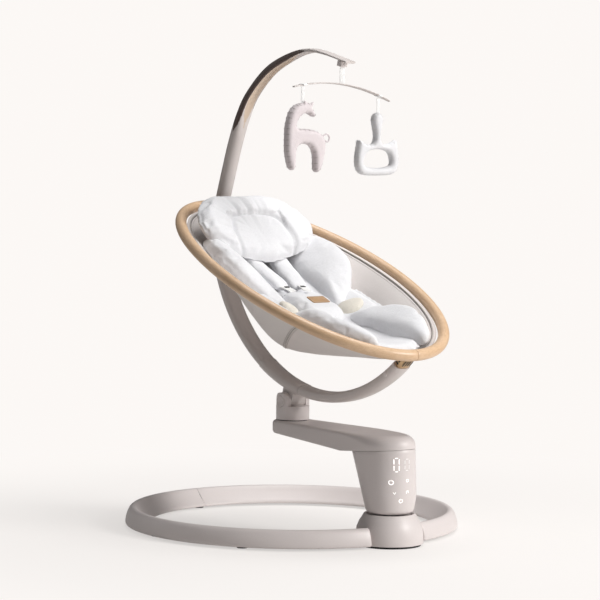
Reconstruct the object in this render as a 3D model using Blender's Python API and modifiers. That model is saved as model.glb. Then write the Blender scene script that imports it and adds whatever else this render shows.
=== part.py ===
"""Electric baby swing: a ring base with a drive pod, a column and arm that sway, a hub that turns, a
reclining C-frame with an oval wooden seat ring, a fabric sling with a newborn insert and harness, and a
toy mobile on a curved arm.

Frame: metres, +Z up. The origin is on the floor, on the column's vertical sway axis. +Y runs from the
column to the hub and the head end, +X is to the baby's left.
"""

from math import asin, atan2, cos, pi, radians, sin, sqrt

import bmesh
import bpy
from mathutils import Matrix, Vector

# --- Driving dimensions -------------------------------------------------------------------------------
GAP = 0.0003                # left between pieces that touch
HUB_Y = 0.278               # hub axis and base ring centre, from the column axis

BASE_R_OUT = 0.310          # base ring, outer wall at the floor
BASE_R_RIDGE = 0.2955       # base ring, top ridge
BASE_R_IN = 0.263           # base ring, inner wall at the floor
BASE_H = 0.0365             # base ring, top of the ridge
FOOT_H = 0.004              # rubber feet lift the ring by this much
FOOT_R = 0.286              # the feet's circle

POD_R = 0.0616              # pod at the floor
POD_RIM_R = 0.0462
POD_H = 0.0573
SHAFT_R = 0.012

CUP_BOTTOM = 0.0592
SEAM_Z, SEAM_SLOPE = 0.1714, -0.093     # seam between cup and arm: z = SEAM_Z + SEAM_SLOPE * y
ARM_TOP = 0.199
ARM_END_R = 0.0373          # arm, rounded end at the hub
WALL = 0.003

HUB_R = 0.031
HUB_BASE = ARM_TOP + 0.0018
PIVOT_Z = 0.235             # recline pivot, along X through the hub
KNUCKLE_R = 0.0160
EAR_R = 0.0165
SLOT_X = 0.0175             # half the gap between the hub's ears

C_Y, C_Z, C_R = 0.1829, 0.580, 0.3291   # C-frame circle, in the plane X = 0
TUBE_W, TUBE_T = 0.0184, 0.0102         # half width and half thickness of the C-frame tube
SADDLE_W, SADDLE_T = 0.0192, 0.0112

SEAT_Y, SEAT_Z = 0.2355, 0.4745         # middle of the seat ring
SEAT_TILT = radians(22.0)
SEAT_A, SEAT_B = 0.3233, 0.1967         # half length and half width of the ring, to its tube's middle
SEAT_EGG = 0.0387                       # the foot half is wider by this share
SEAT_BOW = -0.0078                      # both ends dip by this much below the ring's plane
WOOD_R = 0.0105

MOBILE_R = 0.0140                       # mobile arm's round foot
MOBILE_Y = 0.148                        # where the toy bar hangs
BAR_Z = 0.822
BAR_HALF = 0.1135

# --- Colours (linear) and finishes --------------------------------------------------------------------
FINISH = {
    "plastic": ((0.62, 0.55, 0.53), 0.45, 0.0),
    "tube": ((0.56, 0.50, 0.48), 0.42, 0.2),
    "rubber": ((0.03, 0.03, 0.032), 0.8, 0.0),
    "steel": ((0.55, 0.55, 0.56), 0.35, 1.0),
    "copper": ((0.62, 0.30, 0.14), 0.4, 1.0),
    "board": ((0.05, 0.20, 0.09), 0.6, 0.0),
    "black": ((0.03, 0.03, 0.03), 0.5, 0.0),
    "brass": ((0.60, 0.40, 0.16), 0.35, 1.0),
    "wood": ((0.68, 0.47, 0.30), 0.5, 0.0),
    "sling": ((0.62, 0.55, 0.53), 0.9, 0.0),
    "white": ((0.86, 0.86, 0.87), 0.9, 0.0),
    "cream": ((0.85, 0.80, 0.70), 0.9, 0.0),
    "leather": ((0.45, 0.26, 0.10), 0.6, 0.0),
    "ribbon": ((0.88, 0.88, 0.88), 0.8, 0.0),
    "knit": ((0.70, 0.58, 0.57), 0.95, 0.0),
}


# --- Scene and small helpers --------------------------------------------------------------------------
for old in list(bpy.data.objects):
    bpy.data.objects.remove(old, do_unlink=True)

PARTS = bpy.data.collections.new("baby_swing")
CUTTERS = bpy.data.collections.new("cutters")
bpy.context.scene.collection.children.link(PARTS)
bpy.context.scene.collection.children.link(CUTTERS)


def finish(name):
    """The material of this finish, made once."""
    mat = bpy.data.materials.get(name)
    if mat is None:
        colour, rough, metal = FINISH[name]
        mat = bpy.data.materials.new(name)
        mat.use_nodes = True
        shader = mat.node_tree.nodes["Principled BSDF"]
        shader.inputs["Base Color"].default_value = (*colour, 1.0)
        shader.inputs["Roughness"].default_value = rough
        shader.inputs["Metallic"].default_value = metal
    return mat


def empty(name, place, parent=None):
    """A joint's axis, for the moving pieces to hang from."""
    obj = bpy.data.objects.new(name, None)
    obj.location = place
    PARTS.objects.link(obj)
    if parent is not None:
        bpy.context.view_layer.update()
        obj.parent = parent
        obj.matrix_parent_inverse = parent.matrix_world.inverted()
    return obj


def place_node(obj, look, parent):
    """Puts a finished object in the parts collection and hangs it from its parent, where it stands."""
    PARTS.objects.link(obj)
    obj.data.materials.append(finish(look))
    if parent is not None:
        bpy.context.view_layer.update()
        obj.parent = parent
        obj.matrix_parent_inverse = parent.matrix_world.inverted()
    return obj


def mesh_object(name, bm):
    bmesh.ops.recalc_face_normals(bm, faces=bm.faces)
    mesh = bpy.data.meshes.new(name)
    bm.to_mesh(mesh)
    bm.free()
    for poly in mesh.polygons:
        poly.use_smooth = True
    mesh.set_sharp_from_angle(angle=radians(35))
    return bpy.data.objects.new(name, mesh)


def cutter(name, bm):
    obj = mesh_object(name, bm)
    CUTTERS.objects.link(obj)
    obj.hide_render = True
    obj.display_type = "WIRE"
    return obj


def boolean(obj, other, operation="DIFFERENCE"):
    mod = obj.modifiers.new(operation.lower(), "BOOLEAN")
    mod.operation = operation
    mod.object = other
    return mod


def screw_profile(name, points, steps, closed):
    """A profile of (radius, height) points, down its outer side, turned about Z."""
    bm = bmesh.new()
    verts = [bm.verts.new((r, 0, z)) for r, z in points]
    for a, b in zip(verts, verts[1:]):
        bm.edges.new((a, b))
    if closed:
        bm.edges.new((verts[-1], verts[0]))
    mesh = bpy.data.meshes.new(name)
    bm.to_mesh(mesh)
    bm.free()
    obj = bpy.data.objects.new(name, mesh)
    mod = obj.modifiers.new("turn", "SCREW")
    mod.steps = mod.render_steps = steps
    mod.use_merge_vertices = True
    mod.merge_threshold = 0.00001
    return obj


def turned(name, look, points, parent=None, steps=24, place=(0, 0, 0), turn=None, closed=True):
    obj = screw_profile(name, points, steps, closed)
    obj.location = place
    if turn:
        obj.rotation_euler = turn
    return place_node(obj, look, parent)


def disc(name, look, radius, low, high, parent=None, steps=24, place=(0, 0, 0), turn=None):
    """A plain round piece, from low to high along its axis."""
    points = [(0, high), (radius, high), (radius, low), (0, low)]
    return turned(name, look, points, parent, steps, place, turn, closed=False)


def washer(name, look, inner, outer, low, high, parent=None, steps=24, place=(0, 0, 0)):
    points = [(inner, high), (outer, high), (outer, low), (inner, low)]
    return turned(name, look, points, parent, steps, place)


def rows_mesh(rows, around=True, along=False):
    """A mesh through rows of points. around closes each row on itself, along joins the last row to the
    first; otherwise both ends are filled with one face each."""
    bm = bmesh.new()
    grid = [[bm.verts.new(p) for p in row] for row in rows]
    count = len(rows[0])
    pairs = list(zip(grid, grid[1:]))
    if along:
        pairs.append((grid[-1], grid[0]))
    for low, high in pairs:
        for i in range(count if around else count - 1):
            j = (i + 1) % count
            bm.faces.new((low[i], low[j], high[j], high[i]))
    if not along:
        bm.faces.new(list(reversed(grid[0])))
        bm.faces.new(grid[-1])
    return bm


def box_mesh(size, place=(0, 0, 0), turn=None):
    bm = bmesh.new()
    matrix = Matrix.Translation(place)
    if turn is not None:
        matrix = matrix @ turn
    bmesh.ops.create_cube(bm, size=1.0, matrix=matrix @ Matrix.Diagonal((*size, 1.0)))
    return bm


def rod_mesh(radius, start, end, sides=24):
    """A cylinder between two points."""
    start, end = Vector(start), Vector(end)
    turn = (end - start).to_track_quat("Z", "Y").to_matrix().to_4x4()
    matrix = Matrix.Translation((start + end) / 2) @ turn
    bm = bmesh.new()
    bmesh.ops.create_cone(bm, cap_ends=True, segments=sides, radius1=radius, radius2=radius,
                          depth=(end - start).length, matrix=matrix)
    return bm


def outline_mesh(points, low, high, axis="Z"):
    """A flat outline of (u, v) points as a plate from low to high along the axis."""
    bm = bmesh.new()
    if axis == "Z":
        verts = [bm.verts.new((u, v, low)) for u, v in points]
        step = Vector((0, 0, high - low))
    elif axis == "X":
        verts = [bm.verts.new((low, u, v)) for u, v in points]
        step = Vector((high - low, 0, 0))
    else:
        verts = [bm.verts.new((u, low, v)) for u, v in points]
        step = Vector((0, high - low, 0))
    face = bm.faces.new(verts)
    made = bmesh.ops.extrude_face_region(bm, geom=[face], use_keep_orig=True)
    moved = [g for g in made["geom"] if isinstance(g, bmesh.types.BMVert)]
    bmesh.ops.translate(bm, verts=moved, vec=step)
    return bm


def arc(centre, radius, start, end, count):
    """count + 1 points of a circle's arc, from start to end degrees."""
    cu, cv = centre
    angles = [radians(start + (end - start) * i / count) for i in range(count + 1)]
    return [(cu + radius * cos(a), cv + radius * sin(a)) for a in angles]


def smooth(t):
    t = min(max(t, 0.0), 1.0)
    return t * t * (3 - 2 * t)


def lerp(a, b, t):
    return a + (b - a) * t


def table(points, x):
    """Reads a smooth value from a few (x, value) points."""
    if x <= points[0][0]:
        return points[0][1]
    for (x0, v0), (x1, v1) in zip(points, points[1:]):
        if x <= x1:
            return lerp(v0, v1, (x - x0) / (x1 - x0))
    return points[-1][1]


def spline(points, count):
    """count + 1 points, evenly spaced, along a Catmull-Rom curve through the given points."""
    pts = [Vector(p) for p in points]
    pts = [2 * pts[0] - pts[1]] + pts + [2 * pts[-1] - pts[-2]]
    fine = []
    for i in range(1, len(pts) - 2):
        p0, p1, p2, p3 = pts[i - 1:i + 3]
        for k in range(24):
            t = k / 24
            fine.append(0.5 * (2 * p1 + (p2 - p0) * t + (2 * p0 - 5 * p1 + 4 * p2 - p3) * t * t
                               + (3 * p1 - p0 - 3 * p2 + p3) * t ** 3))
    fine.append(pts[-2])
    lengths = [0.0]
    for a, b in zip(fine, fine[1:]):
        lengths.append(lengths[-1] + (b - a).length)
    out = []
    for k in range(count + 1):
        want = lengths[-1] * k / count
        i = max(j for j in range(len(lengths)) if lengths[j] <= want + 1e-9)
        i = min(i, len(fine) - 2)
        span = max(lengths[i + 1] - lengths[i], 1e-9)
        out.append(fine[i].lerp(fine[i + 1], (want - lengths[i]) / span))
    return out


def oval(width, thick, sides, power=2.0):
    """Points (across, through) of a rounded section."""
    out = []
    for k in range(sides):
        a = 2 * pi * (k + 0.5) / sides
        c, s = cos(a), sin(a)
        out.append((width * abs(c) ** (2 / power) * (1 if c > 0 else -1),
                    thick * abs(s) ** (2 / power) * (1 if s > 0 else -1)))
    return out


def swept(path, section, side=Vector((1, 0, 0)), headings=None):
    """A solid along a path; section(share) gives its outline, across `side` and through the bend."""
    rows = []
    last = len(path) - 1
    for i, p in enumerate(path):
        ahead = headings[i] if headings else path[min(i + 1, last)] - path[max(i - 1, 0)]
        ahead = ahead.normalized()
        across = (side - side.dot(ahead) * ahead).normalized()
        through = ahead.cross(across)
        rows.append([p + across * a + through * b for a, b in section(i / last)])
    return rows_mesh(rows)


# --- Base ring ----------------------------------------------------------------------------------------
def base_profile():
    """The ring's D-like section, as (radius, height): sloped outer wall, narrow ridge, hollowed inside."""
    return [(BASE_R_OUT - 0.0015, FOOT_H), (BASE_R_OUT, 0.0085), (0.3080, 0.0205), (0.3040, 0.0305),
            (0.3000, 0.0350), (BASE_R_RIDGE, BASE_H), (0.2905, 0.0353), (0.2860, 0.0310),
            (0.2770, 0.0205), (0.2680, 0.0120), (BASE_R_IN, 0.0070), (BASE_R_IN + 0.0012, FOOT_H)]


def pod_outside(extra=0.0):
    """The pod's outer wall, rim to floor."""
    wall = [(POD_RIM_R, POD_H), (0.0505, 0.0500), (0.0545, 0.0440), (0.0592, 0.0330), (0.0609, 0.0200),
            (POD_R, FOOT_H)]
    return [(r + extra, z) for r, z in wall]


def ring_half(name, sign, pod_clearance, dowel_hole):
    """Half of the base ring, from the pod to the seam at the back."""
    start, end = radians(-90 + 7), radians(90) - GAP / 2 / BASE_R_RIDGE
    steps = 30
    rows = []
    for i in range(steps + 1):
        a = lerp(start, end, i / steps)
        rows.append([(sign * r * cos(a), HUB_Y + r * sin(a), z) for r, z in base_profile()])
    obj = mesh_object(name, rows_mesh(rows))
    place_node(obj, "plastic", None)
    boolean(obj, pod_clearance)
    boolean(obj, dowel_hole)
    return obj


def make_base():
    tall = [(0, 0.08)] + [(POD_RIM_R + GAP, 0.08)] + pod_outside(GAP)
    tall += [(POD_R + GAP, -0.01), (0, -0.01)]
    clearance = screw_profile("pod_clearance", tall, 32, False)
    CUTTERS.objects.link(clearance)
    clearance.hide_render = True
    clearance.display_type = "WIRE"
    dowel_y, dowel_z, dowel_r = HUB_Y + 0.2885, 0.0175, 0.0055
    hole = cutter("dowel_hole", rod_mesh(dowel_r + GAP, (-0.0265, dowel_y, dowel_z),
                                         (0.0265, dowel_y, dowel_z), 16))
    ring_half("base_ring_right", -1, clearance, hole)
    ring_half("base_ring_left", 1, clearance, hole)
    dowel = mesh_object("ring_joint_dowel", rod_mesh(dowel_r, (-0.026, dowel_y, dowel_z),
                                                     (0.026, dowel_y, dowel_z), 16))
    place_node(dowel, "steel", None)
    for number, degrees in enumerate((90, 8, 172, -33, 213), start=1):
        a = radians(degrees)
        profile = [(0, FOOT_H - GAP), (0.0098, FOOT_H - GAP), (0.0102, 0.0012), (0.0094, 0.0),
                   (0, 0.0)]
        turned(f"ring_foot_{number}", "rubber", profile, None, 16,
               (FOOT_R * cos(a), HUB_Y + FOOT_R * sin(a), 0), closed=False)


# --- Pod ----------------------------------------------------------------------------------------------
def make_pod():
    floor = 0.0540
    hole = SHAFT_R + 0.0042
    inside = [(POD_R - WALL, FOOT_H), (0.0579, 0.0200), (0.0562, 0.0318), (0.0517, 0.0422),
              (0.0445, 0.0505), (hole, 0.0505)]
    profile = [(hole, floor), (0.0402, floor), (0.0425, POD_H - 0.0004), (0.0440, POD_H)]
    profile += pod_outside() + inside
    pod = turned("pod_housing", "plastic", profile, None, 32)
    slot = cutter("inlet_slot", box_mesh((0.0126, 0.03, 0.0106), (0, 0.058, 0.0165)))
    boolean(pod, slot)
    disc("pod_rubber_pad", "rubber", 0.0572, 0.0, FOOT_H - GAP, None, 32)
    disc("pod_base_plate", "steel", 0.0580, FOOT_H + GAP, 0.0070, None, 32)
    washer("main_bearing", "steel", SHAFT_R + 0.0005, hole - GAP, 0.0440, 0.0562)
    coil_x = -0.034
    washer("drive_coil", "copper", 0.0060, 0.0150, 0.0070 + GAP, 0.0180, None, 20, (coil_x, 0, 0))
    board = bmesh.new()
    bmesh.ops.create_cube(board, size=1.0, matrix=Matrix.Translation((0.0345, 0, 0.0082))
                          @ Matrix.Diagonal((0.028, 0.040, 0.0016, 1)))
    node = place_node(mesh_object("control_board", board), "board", None)
    chips = [((0.012, 0.012, 0.004), (0.034, 0.006, 0.0102)), ((0.008, 0.010, 0.007), (0.036, -0.011, 0.0112))]
    for number, (size, where) in enumerate(chips):
        boolean(node, cutter(f"board_chip_{number}", box_mesh(size, where)), "UNION")
    inlet = place_node(mesh_object("power_inlet", box_mesh((0.0120, 0.0135, 0.0100),
                                                           (0, 0.0532, 0.0165))), "black", None)
    boolean(inlet, cutter("inlet_bore", rod_mesh(0.0030, (0, 0.0500, 0.0165), (0, 0.066, 0.0165), 16)))


# --- Column, arm and what they hold -------------------------------------------------------------------
def cup_section(z):
    """Half width, half depth and middle (y) of the column's oval section at this height."""
    half_x = table([(0.0592, 0.0392), (0.0610, 0.0415), (0.0645, 0.0437), (0.088, 0.0480),
                    (0.112, 0.0490), (0.200, 0.0500)], z)
    half_y = table([(0.0592, 0.0392), (0.0610, 0.0415), (0.0645, 0.0437), (0.088, 0.0495),
                    (0.112, 0.0541), (0.165, 0.0657), (0.200, 0.0735)], z)
    middle = table([(0.0645, 0.0), (0.088, 0.0014), (0.112, 0.0065), (0.165, 0.0187),
                    (0.200, 0.0265)], z)
    return half_x, half_y, middle


def cup_row(z, inset, sides, tilt=0.0):
    """A ring of the column's wall; tilt 1 lays it on the seam plane."""
    row = []
    for k in range(sides):
        a = 2 * pi * k / sides
        half_x, half_y, middle = cup_section(z)
        y = middle + (half_y - inset) * sin(a)
        height = lerp(z, SEAM_Z + SEAM_SLOPE * y - GAP / 2, tilt)
        half_x, half_y, middle = cup_section(height)
        row.append(((half_x - inset) * cos(a), middle + (half_y - inset) * sin(a), height))
    return row


def make_column(sway):
    sides = 32
    levels = [0.0592, 0.0610, 0.0645, 0.0740, 0.0880, 0.1120, 0.1400]
    rows = [[(0.0124 * cos(2 * pi * k / sides), 0.0124 * sin(2 * pi * k / sides), CUP_BOTTOM)
             for k in range(sides)]]
    rows += [cup_row(z, 0, sides, smooth((z - 0.13) / 0.04) * 0.5) for z in levels]
    rows.append(cup_row(0.168, 0, sides, 1.0))
    rows.append(cup_row(0.168, WALL, sides, 1.0))
    rows += [cup_row(z, WALL, sides, smooth((z - 0.13) / 0.04) * 0.5) for z in (0.1400, 0.1120, 0.0880,
                                                                               0.0645)]
    rows.append([(0.0124 * cos(2 * pi * k / sides), 0.0124 * sin(2 * pi * k / sides), 0.0625)
                 for k in range(sides)])
    rows[-2] = [(x, y, 0.0625) for x, y, _ in rows[-2]]
    place_node(mesh_object("column_cup", rows_mesh(rows, along=True)), "plastic", sway)

    shaft = [(0, 0.0690), (0.0240, 0.0690), (0.0240, 0.0628), (SHAFT_R, 0.0628), (SHAFT_R, 0.0230),
             (0, 0.0230)]
    turned("column_shaft", "steel", shaft, sway, 24, closed=False)
    tip = arc((-0.034, 0), 0.0090, 90, 270, 8)
    root = arc((0, 0), 0.0175, -90, 90, 12)
    lever = mesh_object("drive_lever", outline_mesh(tip + root, 0.0300, 0.0340))
    place_node(lever, "steel", sway)
    boolean(lever, cutter("lever_bore", rod_mesh(SHAFT_R + GAP, (0, 0, 0.02), (0, 0, 0.04))))
    disc("drive_magnet", "steel", 0.0080, 0.0225, 0.0300 - GAP, sway, 20, (-0.034, 0, 0))

    facing = Matrix.Rotation(radians(-16), 4, "Z")
    panel = box_mesh((0.034, 0.0016, 0.066), facing @ Vector((0, -0.0368, 0.115)), facing)
    place_node(mesh_object("display_board", panel), "board", sway)


def arm_outline():
    """The arm seen from above, as ((x, y), inward normal): round at the hub, oval round the column."""
    half_x, half_y, middle = cup_section(0.170)
    lean = asin((half_x - ARM_END_R) / (HUB_Y - middle))
    out = []
    for k in range(15):
        a = lerp(lean, pi - lean, k / 14)
        out.append(((ARM_END_R * cos(a), HUB_Y + ARM_END_R * sin(a)), (-cos(a), -sin(a))))
    for k in range(1, 6):
        t = k / 6
        x = lerp(-ARM_END_R * cos(lean), -half_x * cos(lean), t)
        y = lerp(HUB_Y + ARM_END_R * sin(lean), middle + half_y * sin(lean), t)
        out.append(((x, y), (cos(lean), -sin(lean))))
    for k in range(23):
        a = lerp(pi - lean, 2 * pi + lean, k / 22)
        nx, ny = cos(a) / half_x, sin(a) / half_y
        size = sqrt(nx * nx + ny * ny)
        out.append(((half_x * cos(a), middle + half_y * sin(a)), (-nx / size, -ny / size)))
    for k in range(1, 6):
        t = k / 6
        x = lerp(half_x * cos(lean), ARM_END_R * cos(lean), t)
        y = lerp(middle + half_y * sin(lean), HUB_Y + ARM_END_R * sin(lean), t)
        out.append(((x, y), (-cos(lean), -sin(lean))))
    return out


UNDER_START = 0.0840        # behind the cup, where the arm's own underside begins


def arm_under(y):
    """Height of the arm's underside: the seam plane over the cup, then a slope up to the hub."""
    if y < UNDER_START:
        return SEAM_Z + SEAM_SLOPE * y + GAP / 2
    low = SEAM_Z + SEAM_SLOPE * UNDER_START
    return lerp(low, 0.1770, (y - UNDER_START) / (HUB_Y + ARM_END_R - UNDER_START))


def arm_rows(inset, top):
    """Rows of the arm's surface from its open underside to its rounded top edge."""
    rows = []
    steps = 5
    for k in range(steps + 2):
        row = []
        for (x, y), (nx, ny) in arm_outline():
            edge = lerp(0.0185, 0.0045, smooth((y - 0.00) / 0.10))
            if k == 0:
                push, z = inset, arm_under(y)
            else:
                a = (pi / 2) * (k - 1) / steps
                push, z = inset + edge * (1 - cos(a)), top - edge * (1 - sin(a))
            row.append((x + nx * push, y + ny * push, z))
        rows.append(row)
    return rows


def make_arm(sway):
    outer = arm_rows(0, ARM_TOP)
    inner = arm_rows(WALL, ARM_TOP - WALL)
    bm = rows_mesh(list(reversed(outer)) + inner)
    shell = place_node(mesh_object("arm_upper_shell", bm), "plastic", sway)
    boolean(shell, cutter("spindle_hole", rod_mesh(0.0128, (0, HUB_Y, 0.18), (0, HUB_Y, 0.21))))

    inset = WALL + GAP
    end = arc((0, HUB_Y), ARM_END_R - inset, 8, 172, 14)
    front = 0.094
    wide = 0.0427
    plate = outline_mesh(end + [(-wide, front), (wide, front)], -0.0012, 0.0012)
    rise = atan2(arm_under(HUB_Y) - arm_under(front), HUB_Y - front)
    turn = Matrix.Rotation(rise, 4, "X")
    height = arm_under(HUB_Y) + 0.0022
    bmesh.ops.transform(plate, verts=plate.verts,
                        matrix=Matrix.Translation((0, HUB_Y, height)) @ turn
                        @ Matrix.Translation((0, -HUB_Y, 0)))
    cover = place_node(mesh_object("arm_lower_cover", plate), "plastic", sway)
    for number, y in enumerate((0.1080, 0.1577), start=1):
        z = height + (y - HUB_Y) * sin(rise)
        boolean(cover, cutter(f"screw_hole_{number}", rod_mesh(0.0024, (0, y, z - 0.01),
                                                               (0, y, z + 0.01), 12)))
        head = [(0, 0.0060), (0.0020, 0.0060), (0.0020, -0.0018), (0.0042, -0.0018),
                (0.0042, -0.0030), (0.0034, -0.0036), (0, -0.0036)]
        turned(f"arm_screw_{number}", "steel", head, sway, 12, (0, y, z), closed=False)

    spindle = [(0, 0.2170), (0.0118, 0.2170), (0.0118, ARM_TOP - WALL - GAP),
               (0.0220, ARM_TOP - WALL - GAP), (0.0220, 0.1915), (0, 0.1915)]
    turned("hub_spindle", "steel", spindle, sway, 24, (0, HUB_Y, 0), closed=False)


# --- Hub ----------------------------------------------------------------------------------------------
def make_hub(turn_axis, button_axis):
    washer("hub_washer", "rubber", 0.0128, 0.0280, ARM_TOP + GAP, HUB_BASE - GAP, turn_axis, 24,
           (0, HUB_Y, 0))
    high = PIVOT_Z + EAR_R
    body = mesh_object("hub_tower", rod_mesh(HUB_R, (0, HUB_Y, HUB_BASE), (0, HUB_Y, high + 0.002), 40))
    place_node(body, "plastic", turn_axis)
    shoulder = 0.2260
    side = [(HUB_Y - 0.04, 0.19), (HUB_Y + 0.04, 0.19), (HUB_Y + 0.04, shoulder),
            (HUB_Y + EAR_R, shoulder)]
    side += arc((HUB_Y, PIVOT_Z), EAR_R, 0, 180, 14)
    side += [(HUB_Y - EAR_R, shoulder), (HUB_Y - 0.04, shoulder)]
    boolean(body, cutter("ear_shape", outline_mesh(side, -0.05, 0.05, "X")), "INTERSECT")
    room = KNUCKLE_R + 0.0008
    slot = arc((HUB_Y, PIVOT_Z), room, 180, 360, 16) + [(HUB_Y + room + 0.03, shoulder + 0.0005),
                                                        (HUB_Y + room + 0.03, 0.30),
                                                        (HUB_Y - room - 0.03, 0.30),
                                                        (HUB_Y - room - 0.03, shoulder + 0.0005)]
    low = asin((PIVOT_Z - shoulder - 0.0005) / room) * 180 / pi
    slot = arc((HUB_Y, PIVOT_Z), room, 180 + low, 360 - low, 16) + slot[-4:]
    boolean(body, cutter("ear_slot", outline_mesh(slot, -SLOT_X, SLOT_X, "X")))
    boolean(body, cutter("spindle_bore", rod_mesh(0.0123, (0, HUB_Y, 0.19), (0, HUB_Y, 0.2180))))
    boolean(body, cutter("pin_bore", rod_mesh(0.0063, (-0.04, HUB_Y, PIVOT_Z), (0.04, HUB_Y, PIVOT_Z))))
    boolean(body, cutter("button_pocket", rod_mesh(0.0114, (-0.04, HUB_Y, PIVOT_Z),
                                                   (-0.0225, HUB_Y, PIVOT_Z))))
    boolean(body, cutter("pin_head_pocket", rod_mesh(0.0092, (0.0256, HUB_Y, PIVOT_Z),
                                                     (0.04, HUB_Y, PIVOT_Z))))
    along_x = (0, radians(90), 0)
    pin = [(0, 0.0294), (0.0080, 0.0294), (0.0088, 0.0286), (0.0088, 0.0259), (0.0059, 0.0259),
           (0.0059, -0.0222), (0, -0.0222)]
    turned("pivot_pin", "steel", pin, turn_axis, 20, (0, HUB_Y, PIVOT_Z), along_x, closed=False)
    cap = [(0, -0.0266), (0.0110, -0.0266), (0.0110, -0.0305), (0.0100, -0.0315), (0.0085, -0.0315),
           (0.0080, -0.0310), (0, -0.0310)]
    turned("recline_button", "plastic", cap, button_axis, 24, (0, HUB_Y, PIVOT_Z), along_x,
           closed=False)


# --- C-frame ------------------------------------------------------------------------------------------
def on_circle(degrees, radius=C_R, x=0.0):
    """A point of the C-frame's circle; 0 is straight down and 90 is the head side."""
    b = radians(degrees)
    return Vector((x, C_Y + radius * sin(b), C_Z - radius * cos(b)))


SADDLE_FROM, SADDLE_TO = 10.5, 31.5
FOOT_END, HEAD_END = -39.6, 82.0


def frame_piece(name, look, start, end, steps, section, parent, sides=16):
    angles = [lerp(start, end, i / steps) for i in range(steps + 1)]
    path = [on_circle(b) for b in angles]
    headings = [on_circle(b + 0.5) - on_circle(b - 0.5) for b in angles]
    width, thick = section
    bm = swept(path, lambda share: oval(width, thick, sides, 2.6), headings=headings)
    return place_node(mesh_object(name, bm), look, parent)


def make_frame(recline, release):
    slack = GAP / C_R * 180 / pi
    saddle = frame_piece("frame_saddle", "tube", SADDLE_FROM, SADDLE_TO, 8, (SADDLE_W, SADDLE_T), recline)
    reach = Vector((0, HUB_Y - C_Y, PIVOT_Z - C_Z))
    lean = atan2(reach.y, -reach.z)
    neck_low, neck_high = C_R + 0.004, reach.length
    middle = Vector((0, C_Y, C_Z)) + reach.normalized() * (neck_low + neck_high) / 2
    half = SLOT_X - 0.0006
    neck = box_mesh((2 * half - 0.0010, 2 * KNUCKLE_R * 0.94, neck_high - neck_low), middle,
                    Matrix.Rotation(lean, 4, "X"))
    boolean(saddle, cutter("saddle_neck", neck), "UNION")
    boolean(saddle, cutter("saddle_knuckle", rod_mesh(KNUCKLE_R, (-half, HUB_Y, PIVOT_Z),
                                                      (half, HUB_Y, PIVOT_Z), 28)), "UNION")
    boolean(saddle, cutter("knuckle_bore", rod_mesh(0.0063, (-0.03, HUB_Y, PIVOT_Z),
                                                    (0.03, HUB_Y, PIVOT_Z), 20)))
    frame_piece("frame_tube_head", "tube", SADDLE_TO + slack, HEAD_END, 18, (TUBE_W, TUBE_T), recline)
    foot = frame_piece("frame_tube_foot", "tube", FOOT_END, SADDLE_FROM - slack, 16, (TUBE_W, TUBE_T),
                       recline)
    place = on_circle(-34.5)
    boolean(foot, cutter("release_pocket", rod_mesh(0.0051, place + Vector((-0.03, 0, 0)),
                                                    place + Vector((-0.0110, 0, 0)), 16)))
    button = [(0, -0.0138), (0.0046, -0.0138), (0.0046, -0.0190), (0.0040, -0.0196), (0, -0.0196)]
    turned("release_button", "plastic", button, release, 16, place, (0, radians(90), 0), closed=False)

    foot_clamp = frame_piece("foot_bracket", "brass", FOOT_END - slack, -44.6, 3, (0.0150, 0.0088),
                             recline, 12)
    end = seat_point(pi)
    boolean(foot_clamp, cutter("foot_ring_room", rod_mesh(WOOD_R + 0.0014, end - Vector((0.05, 0, 0)),
                                                          end + Vector((0.05, 0, 0)))))
    head = frame_piece("head_bracket", "plastic", HEAD_END + slack, HEAD_END + 6.0, 2,
                       (TUBE_W, TUBE_T), recline, 12)
    foot_of_arm, up = mobile_axis()
    socket = rod_mesh(0.0160, foot_of_arm - up * 0.030, foot_of_arm - up * 0.0008, 20)
    boolean(head, cutter("head_socket", socket), "UNION")
    head_ring = seat_point(0)
    root = on_circle(HEAD_END + 6.0)
    lug = box_mesh((0.022, (head_ring - root).length, 0.013), (head_ring + root) / 2,
                   Matrix.Rotation(atan2(head_ring.z - root.z, head_ring.y - root.y), 4, "X"))
    boolean(head, cutter("head_lug", lug), "UNION")
    boolean(head, cutter("socket_bore", rod_mesh(0.0110, foot_of_arm - up * 0.0245,
                                                 foot_of_arm + up * 0.01, 20)))
    boolean(head, cutter("head_ring_room", rod_mesh(WOOD_R + 0.0014, head_ring - Vector((0.05, 0, 0)),
                                                    head_ring + Vector((0.05, 0, 0)))))


# --- Wooden seat ring ---------------------------------------------------------------------------------
def seat_to_world(u, x, n):
    """A point given along the seat's length (head positive), across it and above its ring's plane."""
    return Vector((x, SEAT_Y + u * cos(SEAT_TILT) - n * sin(SEAT_TILT),
                   SEAT_Z + u * sin(SEAT_TILT) + n * cos(SEAT_TILT)))


def seat_point(t):
    """The middle of the ring's tube; t is 0 at the head and pi at the foot."""
    half = SEAT_B * (1 - SEAT_EGG * cos(t))
    return seat_to_world(SEAT_A * cos(t), half * sin(t), SEAT_BOW * cos(t) ** 2)


def make_seat_ring(recline):
    normal = Vector((0, -sin(SEAT_TILT), cos(SEAT_TILT)))
    steps = 30
    edge = GAP / 2 / SEAT_B
    for name, start, end in (("seat_ring_left", edge, pi - edge),
                             ("seat_ring_right", 2 * pi - edge, pi + edge)):
        stops = [lerp(start, end, i / steps) for i in range(steps + 1)]
        path = [seat_point(t) for t in stops]
        headings = [seat_point(t + 0.01) - seat_point(t - 0.01) for t in stops]
        bm = swept(path, lambda share: oval(WOOD_R, WOOD_R, 12), normal, headings)
        place_node(mesh_object(name, bm), "wood", recline)


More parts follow.
